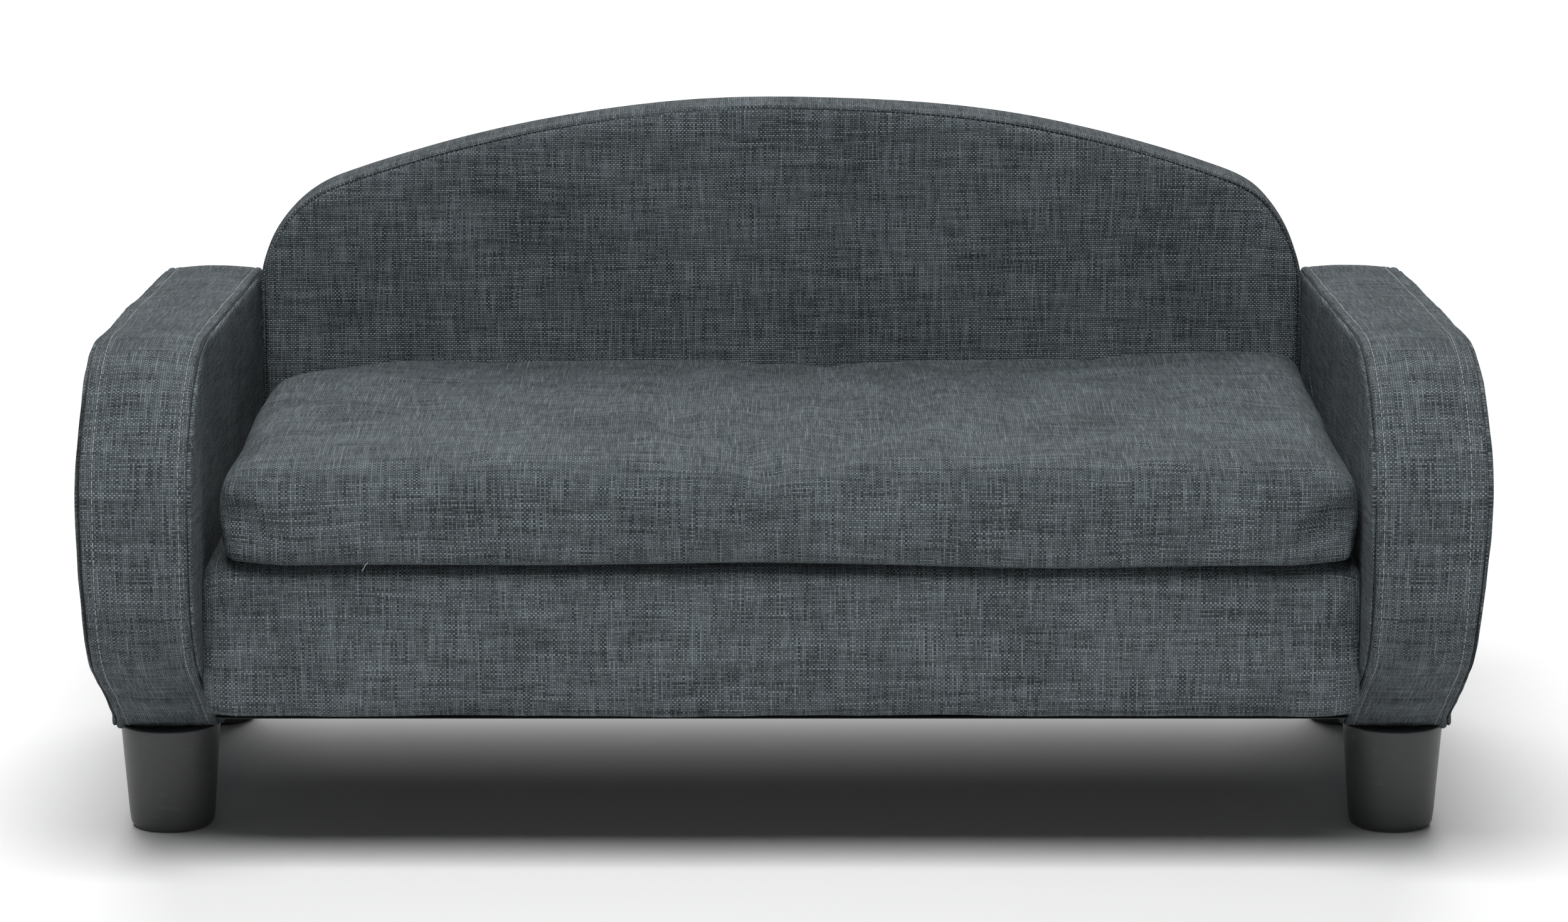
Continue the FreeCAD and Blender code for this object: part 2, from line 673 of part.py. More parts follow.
def staple(x, y, along):
    """A wire staple pushed up through the dust cover, its crown along X or Y."""
    low, high = "(-staple_crown / 2)", "(staple_crown / 2)"
    crown_z = ("(seat_bottom - dust_cover - staple_wire)", "(seat_bottom - dust_cover)")
    leg_z = (crown_z[0], "(seat_bottom + staple_leg)")
    half = "staple_wire / 2"
    parts = []
    for span, z in (((low, high), crown_z), ((low, f"({low} + staple_wire)"), leg_z),
                    ((f"({high} - staple_wire)", high), leg_z)):
        long_side = (f"({x if along == 'x' else y} + {span[0]})",
                     f"({x if along == 'x' else y} + {span[1]})")
        other = y if along == "x" else x
        short_side = (f"({other} - {half})", f"({other} + {half})")
        sides = (long_side, short_side) if along == "x" else (short_side, long_side)
        parts.append(box(sides[0], sides[1], z))
    return fuse(*parts)


def staples():
    """Staples along the four edges of the dust cover."""
    row = f"({SEAT_BOX_FRONT} + seat_rail / 2)"
    rear_row = f"({SEAT_BOX_REAR} - seat_rail / 2)"
    column = f"({ARM_INNER} - seat_rail / 2)"
    middle = f"(({row} + {rear_row}) / 2)"
    items = [staple(f"({step} * staple_pitch)", y, "x")
             for y in (row, rear_row) for step in (-2.5, -1.5, -0.5, 0.5, 1.5, 2.5)]
    items += [staple(f"({side} * {column})", f"({middle} + {step} * staple_pitch)", "y")
              for side in (-1, 1) for step in (-1, 0, 1)]
    node(group(items), "dust_cover_staples")


def seat(bolt_drills, back_drill):
    """The seat box between the arms: rails, deck, foam, cover and dust cover."""
    wide = (f"-{ARM_INNER}", ARM_INNER)
    front, rear = SEAT_FRONT, BACK_FRONT
    skin = outline(SIDE, [
        (front, "seat_bottom", "seat_lower_radius"), (rear, "seat_bottom", "0"),
        (rear, "seat_top", "0"), (front, "seat_top", "seat_front_radius")])
    padding = slab(inset(skin, "cloth"), *wide)
    underside = box(wide, (f"({front} + turn_under)", SEAT_BOX_REAR),
                    ("seat_bottom", SEAT_BOX_BOTTOM))
    node(cut(slab(skin, *wide), padding, underside, back_drill), "seat_cover")
    timber = box(wide, (SEAT_BOX_FRONT, SEAT_BOX_REAR), (SEAT_BOX_BOTTOM, DECK_TOP))
    node(cut(padding, timber), "seat_foam")

    screw_drill = deck_screws()
    rail_z = (SEAT_BOX_BOTTOM, DECK_BOTTOM)
    front_rail = (SEAT_BOX_FRONT, FRONT_RAIL_REAR)
    rear_rail = (REAR_RAIL_FRONT, SEAT_BOX_REAR)
    between = (front_rail[1], rear_rail[0])
    node(cut(box(wide, front_rail, rail_z), screw_drill), "seat_front_rail")
    node(cut(box(wide, rear_rail, rail_z), screw_drill, back_drill), "seat_rear_rail")
    for side, hand in ((-1, "left"), (1, "right")):
        rail_x = mirrored_range(side, SIDE_RAIL_INNER, ARM_INNER)
        node(cut(box(rail_x, between, rail_z), bolt_drills[side]), f"seat_{hand}_rail")
    node(box(("(-seat_rail / 2)", "(seat_rail / 2)"), between, rail_z), "seat_centre_brace")
    node(cut(box(wide, (SEAT_BOX_FRONT, SEAT_BOX_REAR), (DECK_BOTTOM, DECK_TOP)),
             screw_drill), "seat_deck")
    corner_blocks()

    sheet_x = (f"(dust_cover_margin - {ARM_INNER})", f"({ARM_INNER} - dust_cover_margin)")
    sheet_y = (f"({front} + dust_cover_margin)", f"({rear} - dust_cover_margin)")
    node(box(sheet_x, sheet_y, ("(seat_bottom - dust_cover)", "seat_bottom")), "dust_cover")
    staples()


# Cushion and its zip ----------------------------------------------------------------------

def cushion():
    """A foam block in a boxed cover."""
    outside = [(f"-{CUSHION_HALF}", CUSHION_HALF), (CUSHION_FRONT, CUSHION_REAR),
               (CUSHION_BOTTOM, CUSHION_TOP)]
    inside = [(f"({low} + cloth)", f"({high} - cloth)") for low, high in outside]
    foam = rounded_block(*inside, "cushion_edge_radius - cloth")
    node(foam, "cushion_foam")
    node(cut(rounded_block(*outside, "cushion_edge_radius"), foam), "cushion_cover")


def zip_track():
    """Two tapes, the closed coil between them and a stop at each end."""
    half = "(zip_length / 2)"
    coil_low, coil_high = (f"({ZIP_HEIGHT} {sign} zip_coil_width / 2)" for sign in "-+")
    tape_y = (CUSHION_REAR, f"({CUSHION_REAR} + zip_tape)")
    coil_y = (CUSHION_REAR, COIL_FACE)
    tape_x = (f"(-{half} - zip_stop)", f"({half} + zip_stop)")
    lower = box(tape_x, tape_y, (f"({coil_low} - zip_tape_width)", coil_low))
    upper = box(tape_x, tape_y, (coil_high, f"({coil_high} + zip_tape_width)"))
    node(group([lower, upper]), "zip_tape")
    node(box((f"-{half}", half), coil_y, (coil_low, coil_high)), "zip_coil")
    ends = (tape_x[0], f"-{half}"), (half, tape_x[1])
    node(group(box(x, coil_y, (coil_low, coil_high)) for x in ends), "zip_stops")


def zip_slider():
    """The slider: a plate over the coil, a lip above and below it, and the pull's pin."""
    x = (f"({SLIDER_X} - slider_length / 2)", f"({SLIDER_X} + slider_length / 2)")
    gap = "(zip_coil_width / 2 + slider_clearance)"
    plate_y = (f"({COIL_FACE} + slider_clearance)", SLIDER_FACE)
    lip_y = (f"({CUSHION_REAR} + zip_tape + slider_clearance)", SLIDER_FACE)
    plate = box(x, plate_y, (f"({ZIP_HEIGHT} - {gap})", f"({ZIP_HEIGHT} + {gap})"))
    lower = box(x, lip_y, (f"({ZIP_HEIGHT} - {gap} - slider_lip)", f"({ZIP_HEIGHT} - {gap})"))
    upper = box(x, lip_y, (f"({ZIP_HEIGHT} + {gap})", f"({ZIP_HEIGHT} + {gap} + slider_lip)"))
    reach = "(pull_thickness + pull_pin_clearance * 2)"
    pin = cylinder("y", [SLIDER_X, SLIDER_FACE, ZIP_HEIGHT], "pull_pin_radius",
                   f"{reach} + pull_head")
    head = cylinder("y", [SLIDER_X, f"({SLIDER_FACE} + {reach})", ZIP_HEIGHT],
                    "pull_head_radius", "pull_head")
    node(fuse(plate, lower, upper, pin, head), "zip_slider")


def zip_pull():
    """The pull tab, hanging from the slider's pin."""
    half = "(pull_width / 2)"
    low, high = f"({ZIP_HEIGHT} - pull_length + {half})", f"({ZIP_HEIGHT} + {half})"
    right, left = f"-{SLIDER_X} - {half}", f"-{SLIDER_X} + {half}"
    tab = outline(REAR_VIEW, [(x, z, "pull_corner_radius") for x, z in (
        (right, low), (left, low), (left, high), (right, high))])
    near = f"({SLIDER_FACE} + pull_pin_clearance)"
    eye = cylinder("y", [SLIDER_X, near, ZIP_HEIGHT], "pull_pin_radius + pull_pin_clearance",
                   "pull_thickness")
    grip = cylinder("y", [SLIDER_X, near, f"({ZIP_HEIGHT} - pull_length + pull_width)"],
                    "pull_slot_radius", "pull_thickness")
    node(cut(slab(tab, near, f"({near} + pull_thickness)"), eye, grip), "zip_pull")


# Build ------------------------------------------------------------------------------------

foot_drill = feet()
bolt_drills = arm_fasteners()
back_drill, nut_room = back_fasteners()
arms(foot_drill, bolt_drills)
back(back_drill, nut_room)
seat(bolt_drills, back_drill)
cushion()
zip_track()
zip_slider()
zip_pull()
doc.recompute()

failed = [item.Label for item in doc.Objects if {"Invalid", "Error"} & set(item.State)]
if failed:
    raise SystemExit(f"these objects failed: {failed}")
for item in nodes:
    if item.Shape.isNull() or not item.Shape.isValid():
        raise SystemExit(f"{item.Label} has no valid shape")

os.makedirs("parts", exist_ok=True)
for item in nodes:
    item.Shape.exportStep(f"parts/{item.Label}.step")
print(f"{len(nodes)} pieces written")
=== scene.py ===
"""A small upholstered pet sofa in slate linen-look cloth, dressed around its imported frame."""
import json
import math

import bmesh
import bpy
from mathutils import Euler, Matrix, Vector, geometry, noise
from mathutils.bvhtree import BVHTree


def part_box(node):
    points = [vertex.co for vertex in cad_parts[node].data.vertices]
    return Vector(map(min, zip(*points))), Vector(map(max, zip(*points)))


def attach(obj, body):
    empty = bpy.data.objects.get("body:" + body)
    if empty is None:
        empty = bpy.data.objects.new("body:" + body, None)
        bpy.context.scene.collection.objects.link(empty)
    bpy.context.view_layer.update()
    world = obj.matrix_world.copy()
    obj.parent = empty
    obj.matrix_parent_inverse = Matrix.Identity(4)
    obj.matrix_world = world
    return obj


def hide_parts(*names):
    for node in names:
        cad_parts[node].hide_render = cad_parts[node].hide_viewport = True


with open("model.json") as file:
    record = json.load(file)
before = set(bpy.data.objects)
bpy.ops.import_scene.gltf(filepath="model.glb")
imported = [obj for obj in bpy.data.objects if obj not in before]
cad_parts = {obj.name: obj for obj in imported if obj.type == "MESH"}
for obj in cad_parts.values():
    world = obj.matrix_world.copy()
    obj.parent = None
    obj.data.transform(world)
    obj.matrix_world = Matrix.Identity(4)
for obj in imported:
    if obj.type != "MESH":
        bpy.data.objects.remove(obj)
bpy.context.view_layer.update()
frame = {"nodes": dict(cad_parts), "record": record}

MM = 0.001

# Cloth
THREAD_PITCH = 1.25 * MM
OUTLINE_STEP = 4 * MM
STITCH_PITCH = 5.1 * MM
STITCH_LENGTH = 4.0 * MM
THREAD_THICKNESS = 0.55 * MM
THREAD_RELIEF = 0.45 * MM
SEAM_PITCH = 3.2 * MM
SEAM_THREAD = 0.9 * MM
STITCH_RISE = 0.12 * MM

# Arms
LEFT_ARM_SWELLING = 1.8
RIGHT_ARM_SWELLING = 3.6
INNER_TOPSTITCH = 7.6 * MM
OUTER_TOPSTITCH = 9.2 * MM
ARM_SEAM = 2.8 * MM
ARM_SEAM_INSET = 3.4 * MM
TOE = Vector((-88, 62)) * MM

# Back
NOMINAL_BACK_DEPTH = 50 * MM
BACK_TOPSTITCH = 12.4 * MM
BACK_SEAM = 3.7 * MM
BACK_SEAM_INSET = 2.4 * MM

# Seat box
SEAT_RING_STEP = 9 * MM
SEAT_END_TURN = 20 * MM
SEAT_TOP_DROP = 8.5 * MM
SEAT_FRONT_DROP = 6 * MM
SEAT_TOE_LIFT = 4 * MM
SEAT_TOE_WAVE = 1.1 * MM
DUST_COVER_SAG = 1.6
DUST_COVER_LUMP = 1.2

# Feet
FOOT_BASE_RADIUS = 25 * MM
FOOT_EDGE_RADIUS = 5 * MM
FOOT_SIDES = 96
FRONT_FOOT_SUNK = 4 * MM

# Cushion
SEAT_EDGE = 18 * MM
CUSHION_SHIFT = 4.2 * MM
CUSHION_CELL = 7 * MM
CUSHION_TOP_RADIUS = 15 * MM
CUSHION_BASE_RADIUS = 6 * MM
CUSHION_SWELL_CAP = 7 * MM
CUSHION_LEDGE = Vector((1, 2.5, 0)) * MM
CUSHION_HEADROOM = Vector((1, 2.5, 3)) * MM

# The cushion's lie, in millimetres
CROWN_RISE = 3.0
REAR_SLOPE = 4.5
RIDGE_RISE = 1.6
SWAG_RISE = 1.6
SLACK_CORNER_DROP = 7
SLACK_CORNER_PULL = 9
FRONT_CORNER_LIFT = 2.9
FRONT_CORNER_TUCK = 2.5
HEM_WAVE = 3.4
HEM_DROP = 1.4
RIGHT_HEM_DROP = 2.0
FRONT_DIMPLE = 1.3
FRONT_PULL = 2.2

# Zip
COIL_PITCH = 1.3 * MM
COIL_TOOTH = 1.15 * MM
COIL_END_GAP = 0.6 * MM

# Camera
CAMERA_PLACE = (0.0014, -3.2665, 0.8524)
CAMERA_DROP = 11.17
CAMERA_LENS = 125.2


# Shader maths ------------------------------------------------------------------------------

class Number:
    """A shader value that Python's arithmetic signs work on."""

    def __init__(self, finish, socket):
        self.finish = finish
        self.socket = socket

    def maths(self, operation, *others):
        return self.finish.maths(operation, self, *others)

    def __add__(self, other):
        return self.maths("ADD", other)

    __radd__ = __add__

    def __sub__(self, other):
        return self.maths("SUBTRACT", other)

    def __rsub__(self, other):
        return self.finish.maths("SUBTRACT", other, self)

    def __mul__(self, other):
        return self.maths("MULTIPLY", other)

    __rmul__ = __mul__

    def __truediv__(self, other):
        return self.maths("DIVIDE", other)


class Finish:
    """A material that is being made: its nodes, its surface and its maths."""

    def __init__(self, name):
        self.material = bpy.data.materials.new(name)
        self.material.use_nodes = True
        self.tree = self.material.node_tree
        self.tree.nodes.clear()

    def node(self, kind, settings=None, sockets=None):
        """A node of a type, with its settings made first and its sockets then set or linked."""
        made = self.tree.nodes.new(kind)
        for name, value in (settings or {}).items():
            setattr(made, name, value)
        for key, value in (sockets or {}).items():
            if isinstance(value, Number):
                value = value.socket
            if isinstance(value, bpy.types.NodeSocket):
                self.tree.links.new(value, made.inputs[key])
            else:
                made.inputs[key].default_value = value
        return made

    def maths(self, operation, *values):
        made = self.node("ShaderNodeMath", {"operation": operation}, dict(enumerate(values)))
        return Number(self, made.outputs[0])

    def mix(self, factor, first, second, blend="MIX"):
        """Two colours mixed; a value stands for a grey."""
        made = self.node("ShaderNodeMix", {"data_type": "RGBA", "blend_type": blend},
                         {0: factor, 6: first, 7: second})
        return made.outputs[2]

    def ease(self, value, low, high, first=0.0, last=1.0):
        """A value eased from first to last as it goes from low to high."""
        made = self.node("ShaderNodeMapRange", {"interpolation_type": "SMOOTHSTEP"},
                         {0: value, 1: low, 2: high, 3: first, 4: last})
        return Number(self, made.outputs[0])

    def flat_noise(self, x, y, detail=0.0):
        """Smooth noise over two coordinates, one lump to a unit."""
        spot = self.node("ShaderNodeCombineXYZ", {}, {0: x, 1: y})
        made = self.node("ShaderNodeTexNoise", {"noise_dimensions": "2D"},
                         {"Vector": spot.outputs[0], "Scale": 1.0, "Detail": detail})
        return Number(self, made.outputs[0])

    def solid_noise(self, scale, detail=2.0, offset=(0, 0, 0), stretch=(1, 1, 1)):
        """Smooth noise through the object's own space, with so many lumps to a metre."""
        spot = self.node("ShaderNodeTexCoord").outputs["Object"]
        moved = self.node("ShaderNodeMapping", {}, {"Vector": spot, "Location": offset,
                                                    "Scale": stretch})
        made = self.node("ShaderNodeTexNoise", {}, {"Vector": moved.outputs[0],
                                                    "Scale": scale, "Detail": detail})
        return Number(self, made.outputs[0])

    def surface(self, height=None, depth=0.0, **sockets):
        """The shader, with a bump from a height map; a socket's name has _ for each space."""
        inputs = {name.replace("_", " "): value for name, value in sockets.items()}
        if height is not None:
            bump = self.node("ShaderNodeBump", {}, {"Height": height, "Distance": depth})
            inputs["Normal"] = bump.outputs[0]
        shader = self.node("ShaderNodeBsdfPrincipled", {}, inputs)
        self.node("ShaderNodeOutputMaterial", {}, {0: shader.outputs[0]})
        return self.material


# Finishes ----------------------------------------------------------------------------------

def slate_weave():
    """Plain-woven linen-look cloth: each thread has its own tone and thick pale slubs, and painted
    shade darkens it where its threads dip.
    """
    f = Finish("slate_weave")
    split = f.node("ShaderNodeSeparateXYZ", {},
                   {0: f.node("ShaderNodeUVMap", {"uv_map": "Weave"}).outputs[0]})
    u, v = (Number(f, split.outputs[i]) for i in (0, 1))
    wander_u = (f.flat_noise(u * 22, v * 9) - 0.5) * 1.6
    wander_v = (f.flat_noise(u * 9 + 31, v * 22 + 17) - 0.5) * 1.6
    warp = u / THREAD_PITCH + wander_u
    weft = v / THREAD_PITCH + wander_v
    warp_index = warp.maths("FLOOR")
    weft_index = weft.maths("FLOOR")
    warp_side = warp - warp_index - 0.5
    weft_side = weft - weft_index - 0.5
    over = ((warp_index + weft_index) / 2).maths("FRACT") * 2

    warp_tone = f.flat_noise(warp_index * 3.71, v * 45, 1.0)
    weft_tone = f.flat_noise(u * 30 + 71, weft_index * 3.71, 1.0)
    warp_fleck = f.flat_noise(warp_index * 7.13 + 3, v * 260, 1.0) - 0.5
    weft_fleck = f.flat_noise(u * 240 + 17, weft_index * 7.13 + 29, 1.0) - 0.5
    warp_slub = f.ease(f.flat_noise(warp_index * 5.3 + 11, v * 26), 0.64, 0.76)
    weft_slub = f.ease(f.flat_noise(u * 22 + 5, weft_index * 5.3 + 43), 0.62, 0.74)
    rows = f.flat_noise(u * 9 + 9, v * 300 + 4, 1.0) - 0.5
    warp_light = (warp_tone - 0.5) * 2.1 + warp_fleck * 0.8 + warp_slub * 0.6 - 0.20
    weft_light = (weft_tone - 0.5) * 2.1 + weft_fleck * 1.2 + weft_slub * 0.6 + 0.18 + rows * 0.6
    light = weft_light + over * (warp_light - weft_light)

    round_warp = 1 - warp_side * warp_side * 4
    round_weft = 1 - weft_side * weft_side * 4
    warp_height = round_warp * (round_weft * 0.45 + 0.55)
    weft_height = round_weft * (round_warp * 0.45 + 0.55)
    height = weft_height + over * (warp_height - weft_height)

    mottle = (f.flat_noise(u * 14 + 3, v * 14 + 8, 2.0) - 0.5) * 0.3
    tone = (light * 0.60 + 0.38 + mottle).maths("MAXIMUM", 0.0).maths("MINIMUM", 1.0)
    thread = f.mix(tone, (0.034, 0.0425, 0.0475, 1), (0.228, 0.264, 0.282, 1))
    # Painted shade: the thread colour is darkened where each thread dips under its neighbour and
    # left lightest on its crown.
    painted_thread_shade = height * 0.72 + 0.28
    colour = f.mix(1.0, thread, painted_thread_shade.socket, "MULTIPLY")
    relief = height + light * 0.25
    return f.surface(relief, THREAD_RELIEF, Base_Color=colour, Roughness=0.92,
                     Specular_IOR_Level=0.15)


def stitch_thread():
    """Pale grey twisted sewing thread."""
    f = Finish("stitch_thread")
    ply = f.solid_noise(1400, 2.0, stretch=(1, 1, 0.4))
    colour = f.mix(ply, (0.17, 0.18, 0.185, 1), (0.36, 0.375, 0.38, 1))
    return f.surface(ply, 0.1 * MM, Base_Color=colour, Roughness=0.7)


def seam_shade_thread():
    """Sewing thread sunk in a seam, coloured near black so that it paints the shade of the seam's
    groove.
    """
    f = Finish("seam_shade_thread")
    ply = f.solid_noise(1400, 2.0)
    colour = f.mix(ply, (0.006, 0.007, 0.008, 1), (0.02, 0.022, 0.024, 1))
    return f.surface(ply, 0.1 * MM, Base_Color=colour, Roughness=0.8)


def foot_plastic():
    """Satin moulded charcoal plastic with faint scuffs."""
    f = Finish("foot_plastic")
    grain = f.solid_noise(900, 3.0)
    cloudy = f.solid_noise(28, 3.0, offset=(3, 1, 7))
    scuffs = f.ease(f.solid_noise(60, 6.0, offset=(5, 2, 9), stretch=(1, 1, 3.5)), 0.60, 0.74)
    colour = f.mix(cloudy, (0.040, 0.0415, 0.0435, 1), (0.056, 0.058, 0.060, 1))
    worn = f.mix(scuffs * 0.35, colour, (0.11, 0.113, 0.115, 1))
    rough = cloudy * 0.12 + 0.36 + scuffs * 0.15
    return f.surface(grain, 0.05 * MM, Base_Color=worn, Roughness=rough)


def dust_cloth():
    """Thin black non-woven cloth with a grid of small welded points."""
    f = Finish("dust_cloth")
    split = f.node("ShaderNodeSeparateXYZ", {},
                   {0: f.node("ShaderNodeTexCoord").outputs["Object"]})
    x, y = (Number(f, split.outputs[i]) * 420 for i in (0, 1))
    dx = x - x.maths("FLOOR") - 0.5
    dy = y - y.maths("FLOOR") - 0.5
    weld = f.ease((dx * dx + dy * dy).maths("SQRT"), 0.16, 0.3)
    fibre = f.solid_noise(700, 4.0, stretch=(1, 0.35, 1))
    colour = f.mix(fibre, (0.008, 0.008, 0.009, 1), (0.028, 0.028, 0.03, 1))
    return f.surface(weld * 0.7 + fibre * 0.5, 0.15 * MM, Base_Color=colour,
                     Roughness=0.95 - 0.3 * (1 - weld))


def timber(name, dark, pale, grain_axis):
    """Planed wood whose grain runs along one axis."""
    f = Finish(name)
    stretch = [60.0, 60.0, 60.0]
    stretch[grain_axis] = 3.0
    streaks = f.solid_noise(1.0, 5.0, stretch=stretch)
    pores = f.solid_noise(6.0, 3.0, stretch=stretch)
    colour = f.mix(f.ease(streaks, 0.3, 0.7), dark, pale)
    return f.surface(pores, 0.2 * MM, Base_Color=colour, Roughness=pores * 0.2 + 0.6)


def zinc_steel():
    """Zinc-plated steel with a faint patchy spangle."""
    f = Finish("zinc_steel")
    patch = f.solid_noise(140, 3.0)
    colour = f.mix(patch, (0.48, 0.48, 0.47, 1), (0.68, 0.67, 0.64, 1))
    return f.surface(patch, 0.03 * MM, Base_Color=colour, Metallic=1.0,
                     Roughness=patch * 0.25 + 0.25)


def gunmetal():
    """Dark lacquered zinc alloy, worn a little paler at its high spots."""
    f = Finish("gunmetal")
    wear = f.ease(f.solid_noise(260, 4.0), 0.55, 0.72)
    colour = f.mix(wear, (0.035, 0.036, 0.038, 1), (0.22, 0.21, 0.2, 1))
    return f.surface(wear, 0.02 * MM, Base_Color=colour, Metallic=0.9,
                     Roughness=wear * 0.2 + 0.3)


def zip_tape_cloth():
    """Fine herringbone tape."""
    f = Finish("zip_tape_cloth")
    split = f.node("ShaderNodeSeparateXYZ", {},
                   {0: f.node("ShaderNodeTexCoord").outputs["Object"]})
    x, z = (Number(f, split.outputs[i]) for i in (0, 2))
    rib = (x * 900 + (z * 450).maths("FRACT").maths("SUBTRACT", 0.5).maths("ABSOLUTE") * 2)
    rise = (rib.maths("FRACT") - 0.5).maths("ABSOLUTE") * 2
    colour = f.mix(rise, (0.03, 0.034, 0.037, 1), (0.075, 0.082, 0.088, 1))
    return f.surface(rise, 0.15 * MM, Base_Color=colour, Roughness=0.85)


def zip_nylon():
    """Dark grey nylon monofilament."""
    f = Finish("zip_nylon")
    cloudy = f.solid_noise(300, 2.0)
    colour = f.mix(cloudy, (0.022, 0.024, 0.026, 1), (0.05, 0.053, 0.056, 1))
    return f.surface(cloudy, 0.02 * MM, Base_Color=colour, Roughness=0.42)


# Surfaces of rings -------------------------------------------------------------------------

def eased(value, low, high):
    """0 below low, 1 above high and a smooth step between them."""
    part = max(0.0, min(1.0, (value - low) / (high - low)))
    return part * part * (3 - 2 * part)


def evenly(points, step):
    """A closed line of points, spaced evenly, about a step apart."""
    lengths = [(points[i - 1] - p).length for i, p in enumerate(points)]
    lengths = lengths[1:] + lengths[:1]
    count = round(sum(lengths) / step)
    spacing = sum(lengths) / count
    made, index, left = [], 0, 0.0
    for _ in range(count):
        while left > lengths[index]:
            left -= lengths[index]
            index += 1
        start, end = points[index], points[(index + 1) % len(points)]
        made.append(start.lerp(end, left / lengths[index]))
        left += spacing
    return made


def softened(points, rounds):
    """A closed line with its corners eased."""
    for _ in range(rounds):
        points = [points[i - 1] * 0.25 + p * 0.5 + points[(i + 1) % len(points)] * 0.25
                  for i, p in enumerate(points)]
    return points


def outline_of(node, flat, rounds=2):
    """A CAD node's outline along one axis, from the two coordinates that it is seen in."""
    seen = [Vector((v.co[flat[0]], v.co[flat[1]])) for v in frame["nodes"][node].data.vertices]
    corners = [seen[i] for i in geometry.convex_hull_2d(seen)]
    corners = [c for i, c in enumerate(corners) if (c - corners[i - 1]).length > 0.01 * MM]
    rim = softened(evenly(corners, OUTLINE_STEP), rounds)
    area = sum(rim[i - 1].cross(p) for i, p in enumerate(rim))
    return rim if area > 0 else rim[::-1]


def outward(rim):
    """The outward direction at each point of an anticlockwise line."""
    ways = [rim[(i + 1) % len(rim)] - rim[i - 1] for i in range(len(rim))]
    return [Vector((way.y, -way.x)).normalized() for way in ways]


def ring_points(rim, inset, scale=1.0):
    """The outline drawn in a little at a time, easing its corners, then shrunk to its middle."""
    middle = sum(rim, Vector((0, 0))) / len(rim)
    steps = max(1, math.ceil(inset / (1.5 * MM)))
    for _ in range(steps):
        rim = [p - way * (inset / steps) for p, way in zip(rim, outward(rim))]
        if steps > 2:
            rim = softened(rim, 1)
    return [middle + (p - middle) * scale for p in rim]


def ringed_shell(name, rim, rings, place):
    """A closed skin of rings about an outline, with the cloth's own coordinates in metres.

    Each ring is (inset, scale, across, panel). Faces after a "side" ring lie flat in the
    outline's plane; those after a "band" ring run round it. place turns a flat point and a
    distance across into a point of the sofa.
    """
    mesh = bmesh.new()
    weave = mesh.loops.layers.uv.new("Weave")
    flats = [ring_points(rim, inset, scale) for inset, scale, _, _ in rings]
    rows = [[mesh.verts.new(place(p, ring[2])) for p in flat] for flat, ring in zip(flats, rings)]
    count = len(rim)
    runs = [0.0]
    for i in range(count):
        runs.append(runs[-1] + (rim[(i + 1) % count] - rim[i]).length)
    across = [0.0]
    for before, after in zip(rings, rings[1:]):
        across.append(across[-1] + math.hypot(after[0] - before[0], after[2] - before[2]))

    for r, (_, _, _, panel) in enumerate(rings[:-1]):
        for i in range(count):
            j = (i + 1) % count
            face = mesh.faces.new((rows[r][i], rows[r][j], rows[r + 1][j], rows[r + 1][i]))
            if panel == "band":
                spots = ((across[r], runs[i]), (across[r], runs[i + 1]),
                         (across[r + 1], runs[i + 1]), (across[r + 1], runs[i]))
            else:
                spots = (flats[r][i], flats[r][j], flats[r + 1][j], flats[r + 1][i])
            for loop, spot in zip(face.loops, spots):
                loop[weave].uv = spot
    for row, flat, ring in ((rows[0], flats[0], rings[0]), (rows[-1], flats[-1], rings[-1])):
        middle = sum(flat, Vector((0, 0))) / count
        hub = mesh.verts.new(place(middle, ring[2]))
        for i in range(count):
            j = (i + 1) % count
            face = mesh.faces.new((row[i], row[j], hub))
            for loop, spot in zip(face.loops, (flat[i], flat[j], middle)):
                loop[weave].uv = spot
    bmesh.ops.recalc_face_normals(mesh, faces=mesh.faces)
    return mesh_object(name, mesh)


def far_rings(near, wide):
    """The rings of a piece's far end, which mirror those of its near end."""
    far = [(i, s, wide - a, panel) for i, s, a, panel in reversed(near)]
    last_band = [k for k, ring in enumerate(far) if ring[3] == "band"][-1]
    far[last_band] = (*far[last_band][:3], "side")
    return far


def quad_grid(columns, rows, place):
    """An open sheet of quads; place turns a column and a row into a point."""
    mesh = bmesh.new()
    grid = [[mesh.verts.new(place(c, r)) for c in range(columns + 1)] for r in range(rows + 1)]
    for r in range(rows):
        for c in range(columns):
            mesh.faces.new((grid[r][c], grid[r + 1][c], grid[r + 1][c + 1], grid[r][c + 1]))
    return mesh


def mesh_object(name, mesh):
    """A smooth-shaded object in the scene from a bmesh."""
    data = bpy.data.meshes.new(name)
    mesh.to_mesh(data)
    mesh.free()
    data.polygons.foreach_set("use_smooth", [True] * len(data.polygons))
    made = bpy.data.objects.new(name, data)
    bpy.context.collection.objects.link(made)
    return made


def ripple(piece, height, lumps, seed, mask=None):
    """Lifts and sinks a piece's skin by slow noise, so many lumps to a metre."""
    shift = Vector((seed, seed * 0.37, seed * 1.91))
    moves = []
    for vertex in piece.data.vertices:
        amount = height * noise.noise(vertex.co * lumps + shift)
        if mask:
            amount *= mask(vertex.co)
        moves.append(vertex.normal * amount)
    for vertex, move in zip(piece.data.vertices, moves):
        vertex.co += move


def dress(piece, material, slot, body, *replaced):
    """Gives a piece its material and its body, and hides the CAD nodes that it stands for; the slot
    argument is not used.
    """
    piece.data.materials.clear()
    piece.data.materials.append(material)
    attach(piece, body)
    if replaced:
        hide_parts(*replaced)
    return piece


# Stitching ---------------------------------------------------------------------------------

